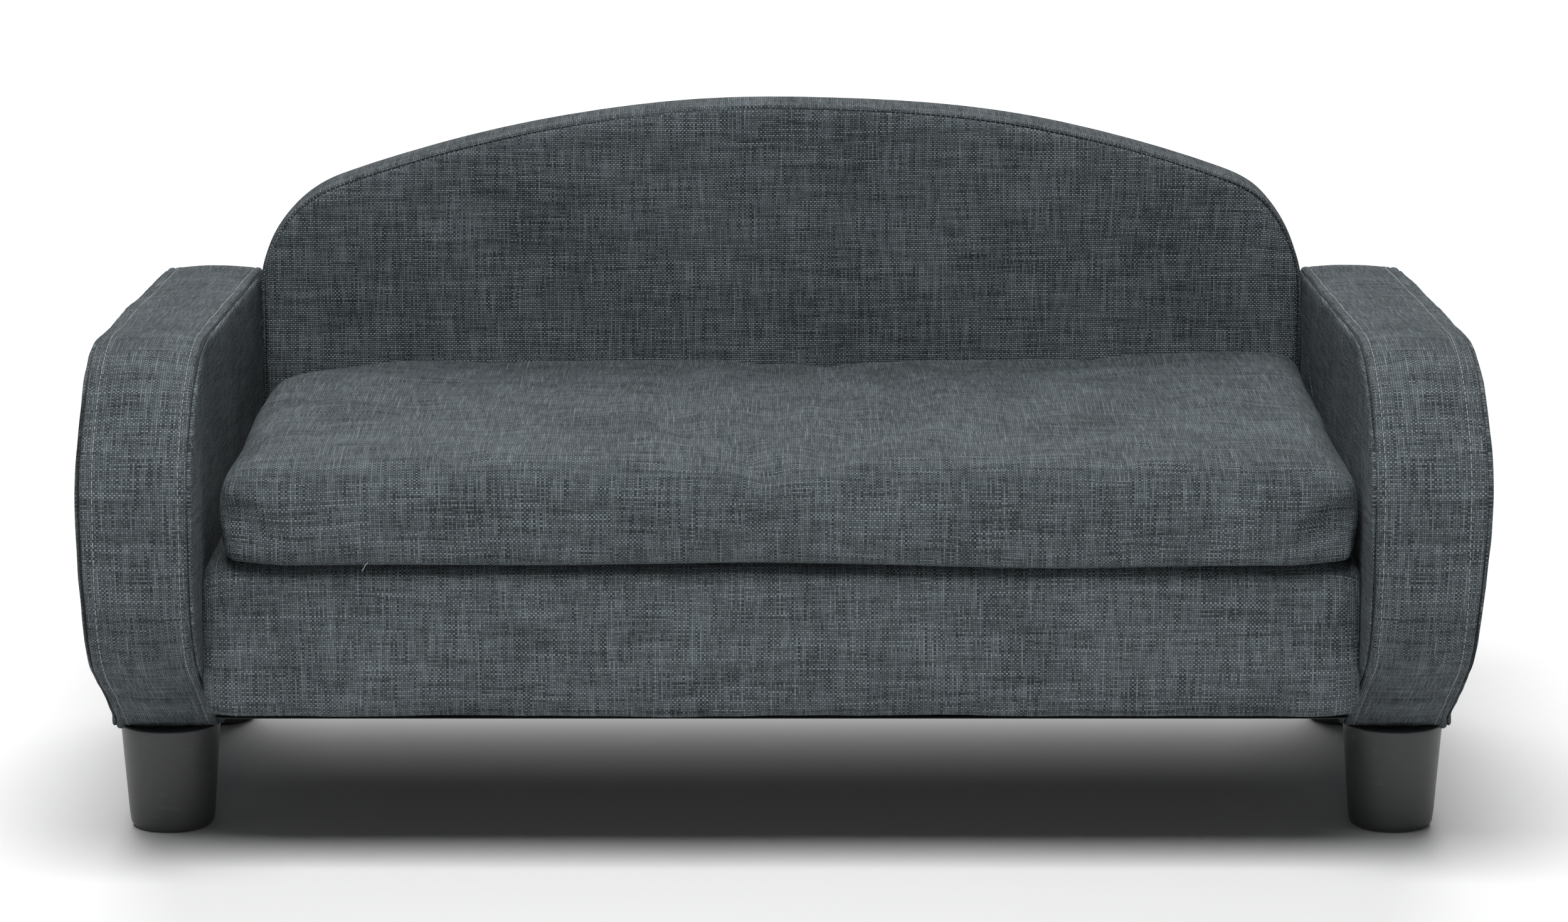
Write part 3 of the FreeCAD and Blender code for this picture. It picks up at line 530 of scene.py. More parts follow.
def stitch_tree():
    """A tree that lays stitches along a line: pitch, stitch length, thread and seed."""
    tree = bpy.data.node_groups.new("stitch_row", "GeometryNodeTree")
    face = tree.interface
    face.new_socket("Line", in_out="INPUT", socket_type="NodeSocketGeometry")
    for name, value in (("Pitch", STITCH_PITCH), ("Stitch Length", STITCH_LENGTH),
                        ("Thread", THREAD_THICKNESS), ("Slant", 0.0)):
        face.new_socket(name, in_out="INPUT", socket_type="NodeSocketFloat").default_value = value
    face.new_socket("Seed", in_out="INPUT", socket_type="NodeSocketInt").default_value = 3
    face.new_socket("Finish", in_out="INPUT", socket_type="NodeSocketMaterial")
    face.new_socket("Stitches", in_out="OUTPUT", socket_type="NodeSocketGeometry")

    def add(kind, settings=None, sockets=None):
        made = tree.nodes.new(kind)
        for name, value in (settings or {}).items():
            setattr(made, name, value)
        for key, value in (sockets or {}).items():
            if isinstance(value, bpy.types.NodeSocket):
                tree.links.new(value, made.inputs[key])
            else:
                made.inputs[key].default_value = value
        return made

    given = add("NodeGroupInput").outputs
    curve = add("GeometryNodeMeshToCurve", {}, {0: given["Line"]})
    dots = add("GeometryNodeResampleCurve", {"mode": "LENGTH"},
               {"Curve": curve.outputs[0], "Length": given["Pitch"]})
    bead = add("GeometryNodeMeshUVSphere", {}, {"Segments": 8, "Rings": 6, "Radius": 0.5})
    size = add("ShaderNodeCombineXYZ", {}, {0: given["Thread"], 1: given["Thread"],
                                            2: given["Stitch Length"]})
    shaped = add("GeometryNodeTransform", {}, {"Geometry": bead.outputs[0],
                                               "Scale": size.outputs[0]})
    along = add("GeometryNodeInputTangent")
    lean = add("FunctionNodeRandomValue", {"data_type": "FLOAT_VECTOR"},
               {0: (-0.06, -0.06, -0.06), 1: (0.06, 0.06, 0.06), "Seed": given["Seed"]})
    tilt = add("ShaderNodeVectorMath", {"operation": "ADD"},
               {0: along.outputs[0], 1: lean.outputs[0]})
    aim = add("FunctionNodeAlignRotationToVector", {"axis": "Z"}, {"Vector": tilt.outputs[0]})
    slanted = add("FunctionNodeRotateRotation", {"rotation_space": "LOCAL"},
                  {0: aim.outputs[0]})
    turn = add("ShaderNodeCombineXYZ", {}, {1: given["Slant"]})
    euler = add("FunctionNodeEulerToRotation", {}, {0: turn.outputs[0]})
    tree.links.new(euler.outputs[0], slanted.inputs[1])
    laid = add("GeometryNodeInstanceOnPoints", {}, {
        "Points": dots.outputs[0], "Instance": shaped.outputs[0],
        "Rotation": slanted.outputs[0]})
    real = add("GeometryNodeRealizeInstances", {}, {0: laid.outputs[0]})
    smooth = add("GeometryNodeSetShadeSmooth", {}, {0: real.outputs[0]})
    painted = add("GeometryNodeSetMaterial", {}, {0: smooth.outputs[0],
                                                  "Material": given["Finish"]})
    add("NodeGroupOutput", {}, {0: painted.outputs[0]})
    return tree


def baked_nodes(piece, tree, settings):
    """Runs a tree on a piece and leaves the result as its plain mesh."""
    grower = piece.modifiers.new("grow", "NODES")
    grower.node_group = tree
    sockets = {item.name: item.identifier for item in tree.interface.items_tree
               if item.item_type == "SOCKET" and item.in_out == "INPUT"}
    for name, value in settings.items():
        grower[sockets[name]] = value
    piece.update_tag()
    seen = piece.evaluated_get(bpy.context.evaluated_depsgraph_get())
    grown = bpy.data.meshes.new_from_object(seen)
    piece.modifiers.remove(grower)
    piece.data = grown
    return piece


def stitch_row(name, points, tree, material, closed=True, **settings):
    """A row of stitches along a line of points."""
    line = bmesh.new()
    spots = [line.verts.new(p) for p in points]
    for a, b in zip(spots, spots[1:] + (spots[:1] if closed else [])):
        line.edges.new((a, b))
    values = {key.replace("_", " "): value for key, value in settings.items()}
    row = baked_nodes(mesh_object(name, line), tree, {"Finish": material, **values})
    row.data.materials.clear()
    row.data.materials.append(material)
    return row


# Arms --------------------------------------------------------------------------------------

def half_arm_rings():
    """An arm's rings from the middle of its inner side to the middle of its band."""
    side = [(14, scale, rise) for scale, rise in (
        (0.05, 0.5), (0.2, 0.4), (0.35, 0.3), (0.5, 0.2), (0.65, 0.1), (0.8, 0.0), (0.9, 0.0),
        (0.96, 0.05), (1.0, 0.1))]
    roll = [(9, 1, 0.05), (6, 1, 0.1), (4.2, 1, 0.4), (3.0, 1, 0.9), (2.4, 1, 1.6), (2.7, 1, 2.2),
            (4.4, 1, 2.7)]
    band = [(4.6, 1, 2.9), (2.4, 1, 3.0), (1.4, 1, 3.3), (0.7, 1, 4.0), (0.3, 1, 5.2),
            (0.25, 1, 6.6), (0.75, 1, 7.6), (0.15, 1, 8.8), (0, 1, 11), (-0.4, 1, 16),
            (-0.8, 1, 22), (-1.0, 1, 28)]
    rings = [(i * MM, s, a * MM, "side") for i, s, a in side + roll]
    return rings + [(i * MM, s, a * MM, "band") for i, s, a in band]


def arm_rings(thick):
    """All of an arm's rings, from inner side to outer side."""
    inner = half_arm_rings()
    return inner + far_rings(inner, thick)


def arm(hand, side, cloth, thread, dark, tree):
    """One arm's cover with its stitching; side is 1 on the right and -1 on the left."""
    node = f"{hand}_arm_cover"
    low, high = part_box(node)
    thick = high.x - low.x
    inner_face = min(abs(low.x), abs(high.x))

    def place(point, across):
        return Vector((side * (inner_face + across), point[0], point[1]))

    rim = outline_of(node, (1, 2))
    cover = ringed_shell(f"{hand}_arm_upholstery", rim, arm_rings(thick), place)
    pinch_toes(cover, side, inner_face, thick)
    swelling = RIGHT_ARM_SWELLING if side > 0 else LEFT_ARM_SWELLING
    plump(cover, side, inner_face, thick, swelling)
    ripple(cover, 1.1 * MM, 14, 4.0 + side)
    ripple(cover, 0.35 * MM, 55, 9.0 + side)
    dress(cover, cloth, "slate_weave", "frame", node, f"{hand}_arm_foam")
    for edge, across in (("inner", INNER_TOPSTITCH), ("outer", thick - OUTER_TOPSTITCH)):
        path = [place(p, across) for p in ring_points(rim, 0.0)]
        row = stitch_row(f"{hand}_arm_{edge}_topstitch", path, tree, thread, Seed=5)
        cling(row, cover, STITCH_RISE)
        dress(row, thread, "slate_weave", "frame")
    # The seam stitches are real thread, but their near-black colour is painted shade for the seam's
    # groove.
    for edge, across in (("inner", ARM_SEAM), ("outer", thick - ARM_SEAM)):
        sunk = [place(p, across) for p in ring_points(rim, ARM_SEAM_INSET)]
        seam = stitch_row(f"{hand}_arm_{edge}_seam", sunk, tree, dark, Seed=4, Pitch=SEAM_PITCH,
                          Stitch_Length=3.0 * MM, Thread=SEAM_THREAD)
        plump(seam, side, inner_face, thick, swelling)
        dress(seam, dark, "slate_weave", "frame")


def pinch_toes(cover, side, inner_face, thick):
    """Small gathered corners under the arm's front, where the cloth is pulled round and stapled."""
    for vertex in cover.data.vertices:
        p = vertex.co
        across = side * p.x - inner_face
        near = math.exp(-((Vector((p.y, p.z)) - TOE).length / (9 * MM)) ** 2)
        outer = math.exp(-((across - thick) / (6 * MM)) ** 2)
        inner = math.exp(-(across / (6 * MM)) ** 2)
        p.x += side * (2.6 * outer) * near * MM
        p.z -= (2.0 * outer + 1.5 * inner) * near * MM
        p.z += 0.8 * MM * near * math.sin(across / (2.6 * MM))


def plump(piece, side, inner_face, thick, swelling):
    """Fills out an arm's brow and crown towards its outer side, by so many millimetres."""
    for vertex in piece.data.vertices:
        p = vertex.co
        across = max(0.0, min(1.0, (side * p.x - inner_face) / thick))
        p.x += side * swelling * across ** 2 * eased(p.z, 0.15, 0.23) * MM
        p.z += 2.2 * eased(p.z, 0.255, 0.298) * MM


def cling(row, cover, rise):
    """Moves each stitch on to the cover that it is sewn through."""
    tree = BVHTree.FromObject(cover, bpy.context.evaluated_depsgraph_get())
    data = row.data
    for island in islands(data):
        middle = sum((data.vertices[i].co for i in island), Vector()) / len(island)
        spot, normal, _, _ = tree.find_nearest(middle)
        move = spot + normal * rise - middle
        for i in island:
            data.vertices[i].co += move


def islands(data):
    """The groups of joined vertices in a mesh."""
    parent = list(range(len(data.vertices)))

    def find(i):
        while parent[i] != i:
            parent[i] = parent[parent[i]]
            i = parent[i]
        return i

    for edge in data.edges:
        parent[find(edge.vertices[0])] = find(edge.vertices[1])
    groups = {}
    for i in range(len(parent)):
        groups.setdefault(find(i), []).append(i)
    return list(groups.values())


# Back --------------------------------------------------------------------------------------

def fuller_shoulder(p):
    """A point of the back, moved a little where its right shoulder is stuffed fuller."""
    up = 3.6 * eased(p.x, 0.02, 0.18) * eased(p.z, 0.27, 0.33) * (1 - eased(p.x, 0.30, 0.335))
    out = 2.6 * eased(p.x, 0.15, 0.29) * eased(p.z, 0.30, 0.345)
    return p + Vector((out, 0, up)) * MM


def back(cloth, thread, dark, tree):
    """The arched back: its front and band, a stitched seam, and the cloth behind."""
    low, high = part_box("back_cover")
    deep = high.y - low.y

    def place(point, across):
        return fuller_shoulder(Vector((point[0], low.y + across, point[1])))

    rim = outline_of("back_cover", (0, 2), rounds=1)
    side = [(22, s, 0) for s in (0.05, 0.2, 0.35, 0.5, 0.65, 0.8, 0.9, 0.96, 1.0)]
    roll = [(15, 1, 0.1), (10, 1, 0.3), (6.5, 1, 0.8), (4.4, 1, 1.6), (3.2, 1, 2.5), (3.0, 1, 3.1),
            (4.6, 1, 3.6)]
    band = [(4.8, 1, 3.8), (2.6, 1, 3.9), (1.5, 1, 4.2), (0.7, 1, 4.9), (0.2, 1, 6.4), (0.1, 1, 9),
            (0, 1, 11.2),
            (0.5, 1, 12.4), (0.05, 1, 13.6), (-0.2, 1, 18), (-0.5, 1, 26), (-0.3, 1, 36),
            (0, 1, 44), (0.3, 1, 47.6), (0.8, 1, 49.4)]
    behind = [(1.3, 1, 50.1), (3, 1, 50.15), (12, 1, 50.15), (12, 0.6, 50.15), (12, 0.05, 50.15)]
    grow = deep / NOMINAL_BACK_DEPTH
    rings = [(i * MM, s, a * MM * grow, "side") for i, s, a in side + roll]
    rings += [(i * MM, s, a * MM * grow, "band") for i, s, a in band[:-1]]
    rings += [(i * MM, s, a * MM * grow, "side") for i, s, a in band[-1:] + behind]
    cover = ringed_shell("back_upholstery", rim, rings, place)
    ripple(cover, 1.3 * MM, 9, 2.0, lambda p: 1.0 if p.y < high.y - 5 * MM else 0.0)
    dress(cover, cloth, "slate_weave", "frame", "back_cover", "back_foam")
    path = [place(p, BACK_TOPSTITCH * grow) for p in rim]
    row = stitch_row("back_topstitch", path, tree, thread, Seed=8)
    cling(row, cover, STITCH_RISE)
    dress(row, thread, "slate_weave", "frame")
    # The seam stitches are real thread, but their near-black colour is painted shade for the seam's
    # groove.
    sunk = [place(p, BACK_SEAM * grow) for p in ring_points(rim, BACK_SEAM_INSET)]
    seam = stitch_row("back_seam_stitches", sunk, tree, dark, Seed=2, Pitch=SEAM_PITCH,
                      Stitch_Length=2.6 * MM, Thread=SEAM_THREAD)
    dress(seam, dark, "slate_weave", "frame")


def rear_cloth(cloth):
    """The outside back: a flat panel with turned edges."""
    low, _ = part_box("back_rear_cloth")

    def place(point, across):
        return fuller_shoulder(Vector((point[0], low.y + across, point[1])))

    rim = outline_of("back_rear_cloth", (0, 2), rounds=1)
    rings = [(24, 0.05, 0.3), (24, 0.5, 0.3), (24, 1, 0.3), (3, 1, 0.3), (1.7, 1, 0.6),
             (1.4, 1, 1.1), (1.8, 1, 1.7), (3.2, 1, 2.2), (6.5, 1, 2.3), (9, 1, 2.0),
             (10.5, 1, 1.4), (12, 1, 1.3), (24, 1, 1.2), (24, 0.93, 1.1), (24, 0.8, 1.0),
             (24, 0.65, 1.0), (24, 0.5, 1.0), (24, 0.35, 1.0), (24, 0.2, 1.0), (24, 0.05, 1.0)]
    rings = [(i * MM, s, a * MM, "side") for i, s, a in rings]
    cover = ringed_shell("back_outside_panel", rim, rings, place)
    ripple(cover, 0.7 * MM, 8, 6.0, lambda p: 1.0 if p.y > low.y + 0.8 * MM else 0.0)
    dress(cover, cloth, "slate_weave", "frame", "back_rear_cloth")


# Seat box ----------------------------------------------------------------------------------

def seat_box(cloth):
    """The seat's upholstered front and top between the arms."""
    low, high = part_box("seat_cover")
    wide = high.x - low.x

    def place(point, across):
        return Vector((low.x + across, point[0], point[1]))

    rim = outline_of("seat_cover", (1, 2), rounds=1)
    end = [(12, s, -0.4) for s in (0.05, 0.35, 0.7, 1.0)] + [(5, 1, -0.4), (1.6, 1, -0.4)]
    roll = [(1.1, 1, -0.1), (0.7, 1, 0.6), (0.3, 1, 2.4), (0.1, 1, 5), (0, 1, 9)]
    left = [(i * MM, s, a * MM, "side") for i, s, a in end]
    left += [(i * MM, s, a * MM, "band") for i, s, a in roll]
    steps = round(wide / SEAT_RING_STEP)
    middle = [(0.0, 1, wide * k / steps, "band") for k in range(2, steps - 1)]
    cover = ringed_shell("seat_upholstery", rim, left + middle + far_rings(left, wide), place)

    for vertex in cover.data.vertices:
        p = vertex.co
        end = max(0.0, min(p.x - low.x, high.x - p.x))
        turn = 1 - math.sqrt(1 - max(0.0, 1 - end / SEAT_END_TURN) ** 2)
        forward = 1 - eased(p.y, low.y + 2 * MM, low.y + 16 * MM)
        top = eased(p.z, high.z - 45 * MM, high.z)
        toe = 1 - eased(p.z, low.z, low.z + 30 * MM)
        p.z -= SEAT_TOP_DROP * top * turn
        p.y += SEAT_FRONT_DROP * forward * turn
        p.z += SEAT_TOE_LIFT * toe * forward * turn
        p.z += SEAT_TOE_WAVE * toe * forward * noise.noise(Vector((p.x * 9, 3.1, 0.7)))

    def front_only(p):
        return max(0.0, min(1.0, (low.y + 60 * MM - p.y) / (40 * MM)))

    ripple(cover, 1.1 * MM, 14, 12.0, front_only)
    ripple(cover, 0.6 * MM, 38, 15.0, front_only)
    dress(cover, cloth, "slate_weave", "frame", "seat_cover", "seat_foam")


def dust_cover(cloth):
    """The thin cloth under the seat, pulled flat with a little sag."""
    low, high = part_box("dust_cover")
    wide, deep = high.x - low.x, high.y - low.y
    columns, rows = 54, 30

    def place(c, r):
        x, y = c / columns, r / rows
        sag = math.sin(math.pi * x) * math.sin(math.pi * y)
        lump = noise.noise(Vector((x * 9, y * 5, 3.3))) * min(1.0, sag * 3)
        z = low.z + 0.3 * MM - (sag * DUST_COVER_SAG + lump * DUST_COVER_LUMP) * MM
        return low.x + wide * x, low.y + deep * y, z

    cover = mesh_object("dust_cover_cloth", quad_grid(columns, rows, place))
    wall = cover.modifiers.new("thickness", "SOLIDIFY")
    wall.thickness = 0.5 * MM
    wall.offset = -1.0
    dress(cover, cloth, "dust_cloth", "frame", "dust_cover")


# Feet --------------------------------------------------------------------------------------

def foot(node, finish, sunk):
    """A tapered foot, whose top is sunk a little way into the padding above it."""
    low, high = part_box(node)
    middle = (low + high) / 2
    base, top, edge = FOOT_BASE_RADIUS, (high.x - low.x) / 2, FOOT_EDGE_RADIUS
    rise = high.z - low.z
    profile = [(r * base, 0.0) for r in (0.0, 0.3, 0.55, 0.74)]
    for step in range(9):
        turn = math.radians(90 * step / 8)
        profile.append((base - edge + edge * math.sin(turn) + 0.1 * MM * step / 8,
                        edge - edge * math.cos(turn)))
    walls = 14
    for step in range(1, walls + 1):
        z = edge + (rise + sunk - 1 * MM - edge) * step / walls
        profile.append((base + (top - base) * z / rise, z))
    rim = base + (top - base) * (rise + sunk) / rise
    profile += [(rim - 0.2 * MM, rise + sunk - 0.3 * MM), (rim - 0.9 * MM, rise + sunk),
                (rim * 0.6, rise + sunk), (0.0, rise + sunk)]
    mesh = bmesh.new()
    rows = []
    for radius, z in profile:
        if radius == 0.0:
            rows.append([mesh.verts.new((middle.x, middle.y, low.z + z))] * FOOT_SIDES)
            continue
        turns = [2 * math.pi * k / FOOT_SIDES for k in range(FOOT_SIDES)]
        rows.append([mesh.verts.new((middle.x + radius * math.cos(t),
                                     middle.y + radius * math.sin(t), low.z + z))
                     for t in turns])
    for lower, upper in zip(rows, rows[1:]):
        for k in range(FOOT_SIDES):
            after = (k + 1) % FOOT_SIDES
            ring = (lower[k], lower[after], upper[after], upper[k])
            mesh.faces.new(tuple(dict.fromkeys(ring)))
    bmesh.ops.recalc_face_normals(mesh, faces=mesh.faces)
    dress(mesh_object(f"{node}_moulding", mesh), finish, "foot_plastic", "frame", node)


# Cushion -----------------------------------------------------------------------------------

def lattice_box(low, high, cell, top_radius, base_radius):
    """A box of small squares with soft edges, and the cloth's own coordinates in metres."""
    size = high - low
    counts = [max(2, round(size[a] / cell)) for a in range(3)]
    mesh = bmesh.new()
    weave = mesh.loops.layers.uv.new("Weave")
    made = {}

    def corner(key):
        if key not in made:
            flat = Vector([low[a] + size[a] * key[a] / counts[a] for a in range(3)])
            rise = key[2] / counts[2]
            radius = base_radius + (top_radius - base_radius) * rise
            core = Vector([min(max(flat[a], low[a] + radius), high[a] - radius)
                           for a in range(3)])
            away = flat - core
            plan = (away.x ** 4 + away.y ** 4) ** 0.25
            made[key] = mesh.verts.new(core + away * (radius / math.hypot(plan, away.z)))
        return made[key]

    for axis in range(3):
        a, b = [k for k in range(3) if k != axis]
        for end in (0, counts[axis]):
            for i in range(counts[a]):
                for j in range(counts[b]):
                    keys = []
                    for di, dj in ((0, 0), (1, 0), (1, 1), (0, 1)):
                        key = [0, 0, 0]
                        key[axis], key[a], key[b] = end, i + di, j + dj
                        keys.append(tuple(key))
                    face = mesh.faces.new([corner(key) for key in keys])
                    for loop, key in zip(face.loops, keys):
                        spot = [low[k] + size[k] * key[k] / counts[k] for k in range(3)]
                        if axis == 0:
                            loop[weave].uv = (spot[1], spot[2])
                        elif axis == 1:
                            loop[weave].uv = (spot[0], low.y + spot[2] - high.z)
                        else:
                            loop[weave].uv = (spot[0], spot[1])
    bmesh.ops.recalc_face_normals(mesh, faces=mesh.faces)
    return mesh


def swell(piece, low, high):
    """Blows the cover up a little against its foam with a cloth simulation."""
    rest = [v.co.copy() for v in piece.data.vertices]
    held = piece.vertex_groups.new(name="held")
    tall = high.z - low.z
    for vertex in piece.data.vertices:
        rise = (vertex.co.z - low.z) / tall
        held.add([vertex.index], 1.0 if rise < 0.04 else 0.14, "REPLACE")
    modifier = piece.modifiers.new("swell", "CLOTH")
    cloth = modifier.settings
    cloth.quality = 6
    cloth.mass = 0.35
    cloth.tension_stiffness = 25
    cloth.compression_stiffness = 25
    cloth.shear_stiffness = 8
    cloth.bending_stiffness = 2.5
    cloth.air_damping = 2.0
    cloth.shrink_min = -0.012
    cloth.use_pressure = True
    cloth.uniform_pressure_force = 4.0
    cloth.vertex_group_mass = "held"
    cloth.pin_stiffness = 0.6
    cloth.effector_weights.gravity = 0.0
    scene = bpy.context.scene
    for moment in range(1, 21):
        scene.frame_set(moment)
    seen = piece.evaluated_get(bpy.context.evaluated_depsgraph_get())
    moved = [v.co.copy() for v in seen.data.vertices]
    piece.modifiers.remove(modifier)
    piece.vertex_groups.clear()
    scene.frame_set(1)
    for vertex, start, end in zip(piece.data.vertices, rest, moved):
        move = end - start
        if move.length > CUSHION_SWELL_CAP:
            move = move.normalized() * CUSHION_SWELL_CAP
        vertex.co = start + move


def settle(piece, low, high):
    """The cushion's own lie: soft ridges, a lifted rear corner and an uneven lower edge."""
    wide, deep, tall = high - low
    for vertex in piece.data.vertices:
        p = vertex.co
        x = max(0.0, min(1.0, (p.x - low.x) / wide))
        y = max(0.0, min(1.0, (p.y - low.y) / deep))
        rise = max(0.0, min(1.0, (p.z - low.z) / tall))
        crown = CROWN_RISE * math.sin(math.pi * x) * math.sin(math.pi * y)
        slope = REAR_SLOPE * eased(y, 0.55, 1.0) * (1 - 1.5 * eased(x, 0.72, 0.98))
        streak = noise.noise(Vector((p.x * 3.2, p.y * 21, 8.1)))
        ridge = RIDGE_RISE * streak * eased(y, 0.0, 0.15)
        swag = SWAG_RISE * noise.noise(Vector((p.x * 6, p.y * 6, 2.3)))
        slack = (1 - eased(math.hypot(p.x - low.x, high.y - p.y), 10 * MM, 85 * MM)) * rise
        p.z += (rise * (crown - slope + ridge + swag) - SLACK_CORNER_DROP * slack) * MM
        p.x += SLACK_CORNER_PULL * slack * MM
        front = 1 - eased(y, 0.0, 0.12)
        corner = eased(abs(x - 0.5), 0.44, 0.5)
        edge = 1 - eased(y, 0.0, 0.05)
        wave = noise.noise(Vector((p.x * 6.5, 1.7, 0.4)))
        lift = FRONT_CORNER_LIFT * corner + HEM_WAVE * wave
        droop = HEM_DROP + RIGHT_HEM_DROP * eased(x, 0.45, 0.75)
        p.z += (1 - rise) * (front * lift - edge * droop) * MM
        p.y += front * (1 - rise) ** 2 * FRONT_CORNER_TUCK * corner * MM
        dimple = noise.noise(Vector((p.x * 17, p.z * 24, 6.6)))
        p.y += edge * (rise * (1 - rise) * 4 * FRONT_DIMPLE * dimple - FRONT_PULL) * MM


def rest_on_seat(piece, ledge, front, top):
    """Keeps the cushion's underside above the seat and its rounded front edge."""
    for vertex in piece.data.vertices:
        p = vertex.co
        run = front + ledge - p.y
        if run < ledge:
            fall = ledge - math.sqrt(ledge ** 2 - max(run, 0.0) ** 2)
            p.z = max(p.z, top - fall + 0.3 * MM)


def flatten_for_zip(piece, zone_low, zone_high, rear):
    """Brings the cushion's rear side out to the plane that its zip lies on."""
    for vertex in piece.data.vertices:
        p = vertex.co
        if p.y < rear - 12 * MM:
            continue
        beside = max(zone_low.x - p.x, p.x - zone_high.x, 0.0)
        above = max(zone_low.z - p.z, p.z - zone_high.z, 0.0)
        near = 1 - eased(math.hypot(beside, above), 2 * MM, 12 * MM)
        p.y = min(p.y + (rear - p.y) * near, rear)


def loose_thread(finish, root):
    """A short end of yarn that has worked out of the cushion's lower edge."""
    path = [root + Vector(step) * MM for step in (
        (0, 1.5, 0.8), (-0.4, -0.3, 0.1), (-1.3, -1.4, -0.8), (-2.6, -1.9, -2.2),
        (-3.1, -1.6, -3.8), (-4.2, -1.9, -5.0))]
    tube(finish, "cushion_loose_thread", path, 0.22 * MM)


def tube(finish, name, path, radius):
    """A thin round yarn along a path."""
    curve = bpy.data.curves.new(name, "CURVE")
    curve.dimensions = "3D"
    curve.bevel_depth = radius
    curve.bevel_resolution = 2
    curve.use_fill_caps = True
    line = curve.splines.new("NURBS")
    line.points.add(len(path) - 1)
    for spot, p in zip(line.points, path):
        spot.co = (*p, 1)
    line.use_endpoint_u = True
    line.order_u = 3
    held = bpy.data.objects.new(name, curve)
    bpy.context.collection.objects.link(held)
    seen = held.evaluated_get(bpy.context.evaluated_depsgraph_get())
    data = bpy.data.meshes.new_from_object(seen)
    bpy.data.objects.remove(held)
    piece = bpy.data.objects.new(name, data)
    bpy.context.collection.objects.link(piece)
    dress(piece, finish, "slate_weave", "cushion")


def cushion(cloth, thread):
    """The loose cushion in its boxed cover."""
    low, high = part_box("cushion_cover")
    start_low = low + CUSHION_LEDGE
    start_high = high - CUSHION_HEADROOM
    mesh = lattice_box(start_low, start_high, CUSHION_CELL, CUSHION_TOP_RADIUS,
                       CUSHION_BASE_RADIUS)
    pad = mesh_object("seat_cushion", mesh)
    swell(pad, start_low, start_high)
    settle(pad, start_low, start_high)
    tape_low, tape_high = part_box("zip_tape")
    flatten_for_zip(pad, tape_low, tape_high, tape_low.y)
    for vertex in pad.data.vertices:
        vertex.co.x += CUSHION_SHIFT
    seat_low, seat_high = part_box("seat_cover")
    rest_on_seat(pad, SEAT_EDGE, seat_low.y, seat_high.z)
    finer = pad.modifiers.new("finer", "SUBSURF")
    finer.levels = finer.render_levels = 1
    dress(pad, cloth, "slate_weave", "cushion", "cushion_cover", "cushion_foam")
    loose_thread(thread, Vector((-0.237, low.y + 3 * MM, low.z + 2 * MM)))


def zip_band(cloth, nylon, tree):
    """The zip's woven tape and the two rows of its coil."""
    low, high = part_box("zip_tape")
    columns, rows = 120, 4

    def place(c, r):
        return (low.x + (high.x - low.x) * c / columns, low.y,
                low.z + (high.z - low.z) * r / rows)

    tape = mesh_object("zip_tape_band", quad_grid(columns, rows, place))
    wall = tape.modifiers.new("thickness", "SOLIDIFY")
    wall.thickness = high.y - low.y
    wall.offset = 1.0
    dress(tape, cloth, "zip_tape", "cushion", "zip_tape")

    low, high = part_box("zip_coil")
    middle = (low + high) / 2
    tall = (high.z - low.z) / 2
    ends = (low.x + COIL_END_GAP, high.x - COIL_END_GAP)
    for side, name in ((-1, "zip_coil_lower"), (1, "zip_coil_upper")):
        z = middle.z + side * tall * 0.5
        row = stitch_row(name, [Vector((x, middle.y, z)) for x in ends], tree, nylon,
                         closed=False, Pitch=COIL_PITCH, Stitch_Length=COIL_TOOTH,
                         Thread=high.y - low.y)
        dress(row, nylon, "zip_nylon", "cushion", "zip_coil")


# Camera, light and floor -------------------------------------------------------------------

def camera():
    """A long lens a little above the seat, square to the front."""
    view = bpy.data.cameras.new("camera")
    view.sensor_width = 36
    view.lens = CAMERA_LENS
    held = bpy.data.objects.new("camera", view)
    held.location = CAMERA_PLACE
    held.rotation_euler = Euler((math.radians(90 - CAMERA_DROP), 0, 0))
    bpy.context.collection.objects.link(held)
    bpy.context.scene.camera = held


def softbox(name, place, aim, wide, power):
    """A square area light that looks at a point."""
    lamp = bpy.data.lights.new(name, "AREA")
    lamp.size = wide
    lamp.energy = power
    held = bpy.data.objects.new(name, lamp)
    held.location = place
    held.rotation_euler = (Vector(aim) - Vector(place)).to_track_quat("-Z", "Y").to_euler()
    bpy.context.collection.objects.link(held)


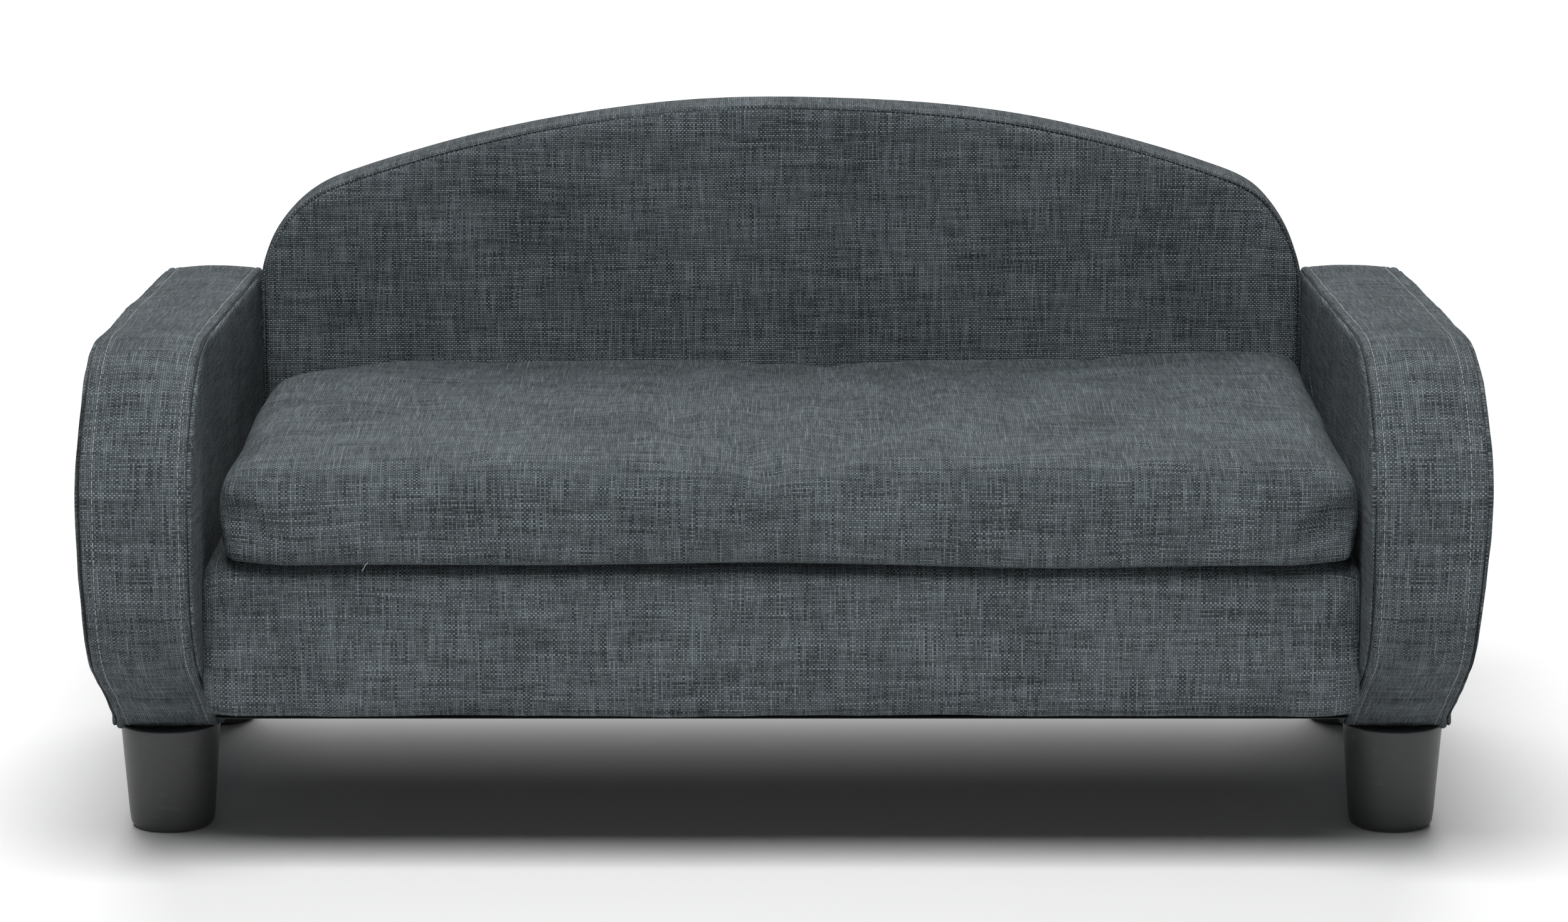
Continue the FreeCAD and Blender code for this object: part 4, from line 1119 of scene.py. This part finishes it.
def studio():
    """A large softbox high in front, a far front fill, and a lamp for the floor behind."""
    world = bpy.data.worlds.new("studio")
    world.use_nodes = True
    world.node_tree.nodes["Background"].inputs[0].default_value = (1, 1, 1, 1)
    world.node_tree.nodes["Background"].inputs[1].default_value = 0.06
    bpy.context.scene.world = world
    softbox("key", (-0.15, -1.5, 2.85), (0, 0, 0.2), 1.9, 114)
    softbox("front_fill", (0, -6.0, 1.2), (0, 0, 0.2), 1.6, 24)
    softbox("floor_lamp", (0, 4.6, 3.6), (0, 3.6, 0), 5.0, 290)
    bpy.context.scene.view_settings.view_transform = "Standard"


def floor():
    """A plain pale floor."""
    f = Finish("pale_floor")
    paint = f.surface(Base_Color=(0.86, 0.86, 0.86, 1), Roughness=0.8)
    mesh = bmesh.new()
    bmesh.ops.create_grid(mesh, x_segments=1, y_segments=1, size=12)
    ground = mesh_object("floor", mesh)
    ground.data.materials.append(paint)


# Everything that keeps its CAD shape -------------------------------------------------------

def repaint(finishes):
    """Gives each carried-over CAD node the finish of its slot."""
    slots = {part["node"]: part["material_slot"] for part in frame["record"]["subparts"]}
    for name, item in frame["nodes"].items():
        finish = finishes.get(slots[name])
        if finish is not None and not item.hide_render:
            for holder in item.material_slots:
                holder.material = finish


# Build -------------------------------------------------------------------------------------

camera()
studio()
floor()
slate = slate_weave()
pale = stitch_thread()
painted_seam_shade = seam_shade_thread()
stitches = stitch_tree()
arm("left", -1, slate, pale, painted_seam_shade, stitches)
arm("right", 1, slate, pale, painted_seam_shade, stitches)
back(slate, pale, painted_seam_shade, stitches)
rear_cloth(slate)
seat_box(slate)
dust_cover(dust_cloth())
charcoal = foot_plastic()
for end, sunk in (("front", FRONT_FOOT_SUNK), ("rear", 0.0)):
    for hand in ("left", "right"):
        foot(f"{end}_{hand}_foot", charcoal, sunk)
cushion(slate, pale)
zip_band(zip_tape_cloth(), zip_nylon(), stitches)
repaint({
    "zinc_steel": zinc_steel(), "zip_metal": gunmetal(),
    "plywood": timber("plywood", (0.36, 0.24, 0.12, 1), (0.62, 0.47, 0.29, 1), 2),
    "pine": timber("pine", (0.50, 0.33, 0.17, 1), (0.74, 0.57, 0.36, 1), 0),
})
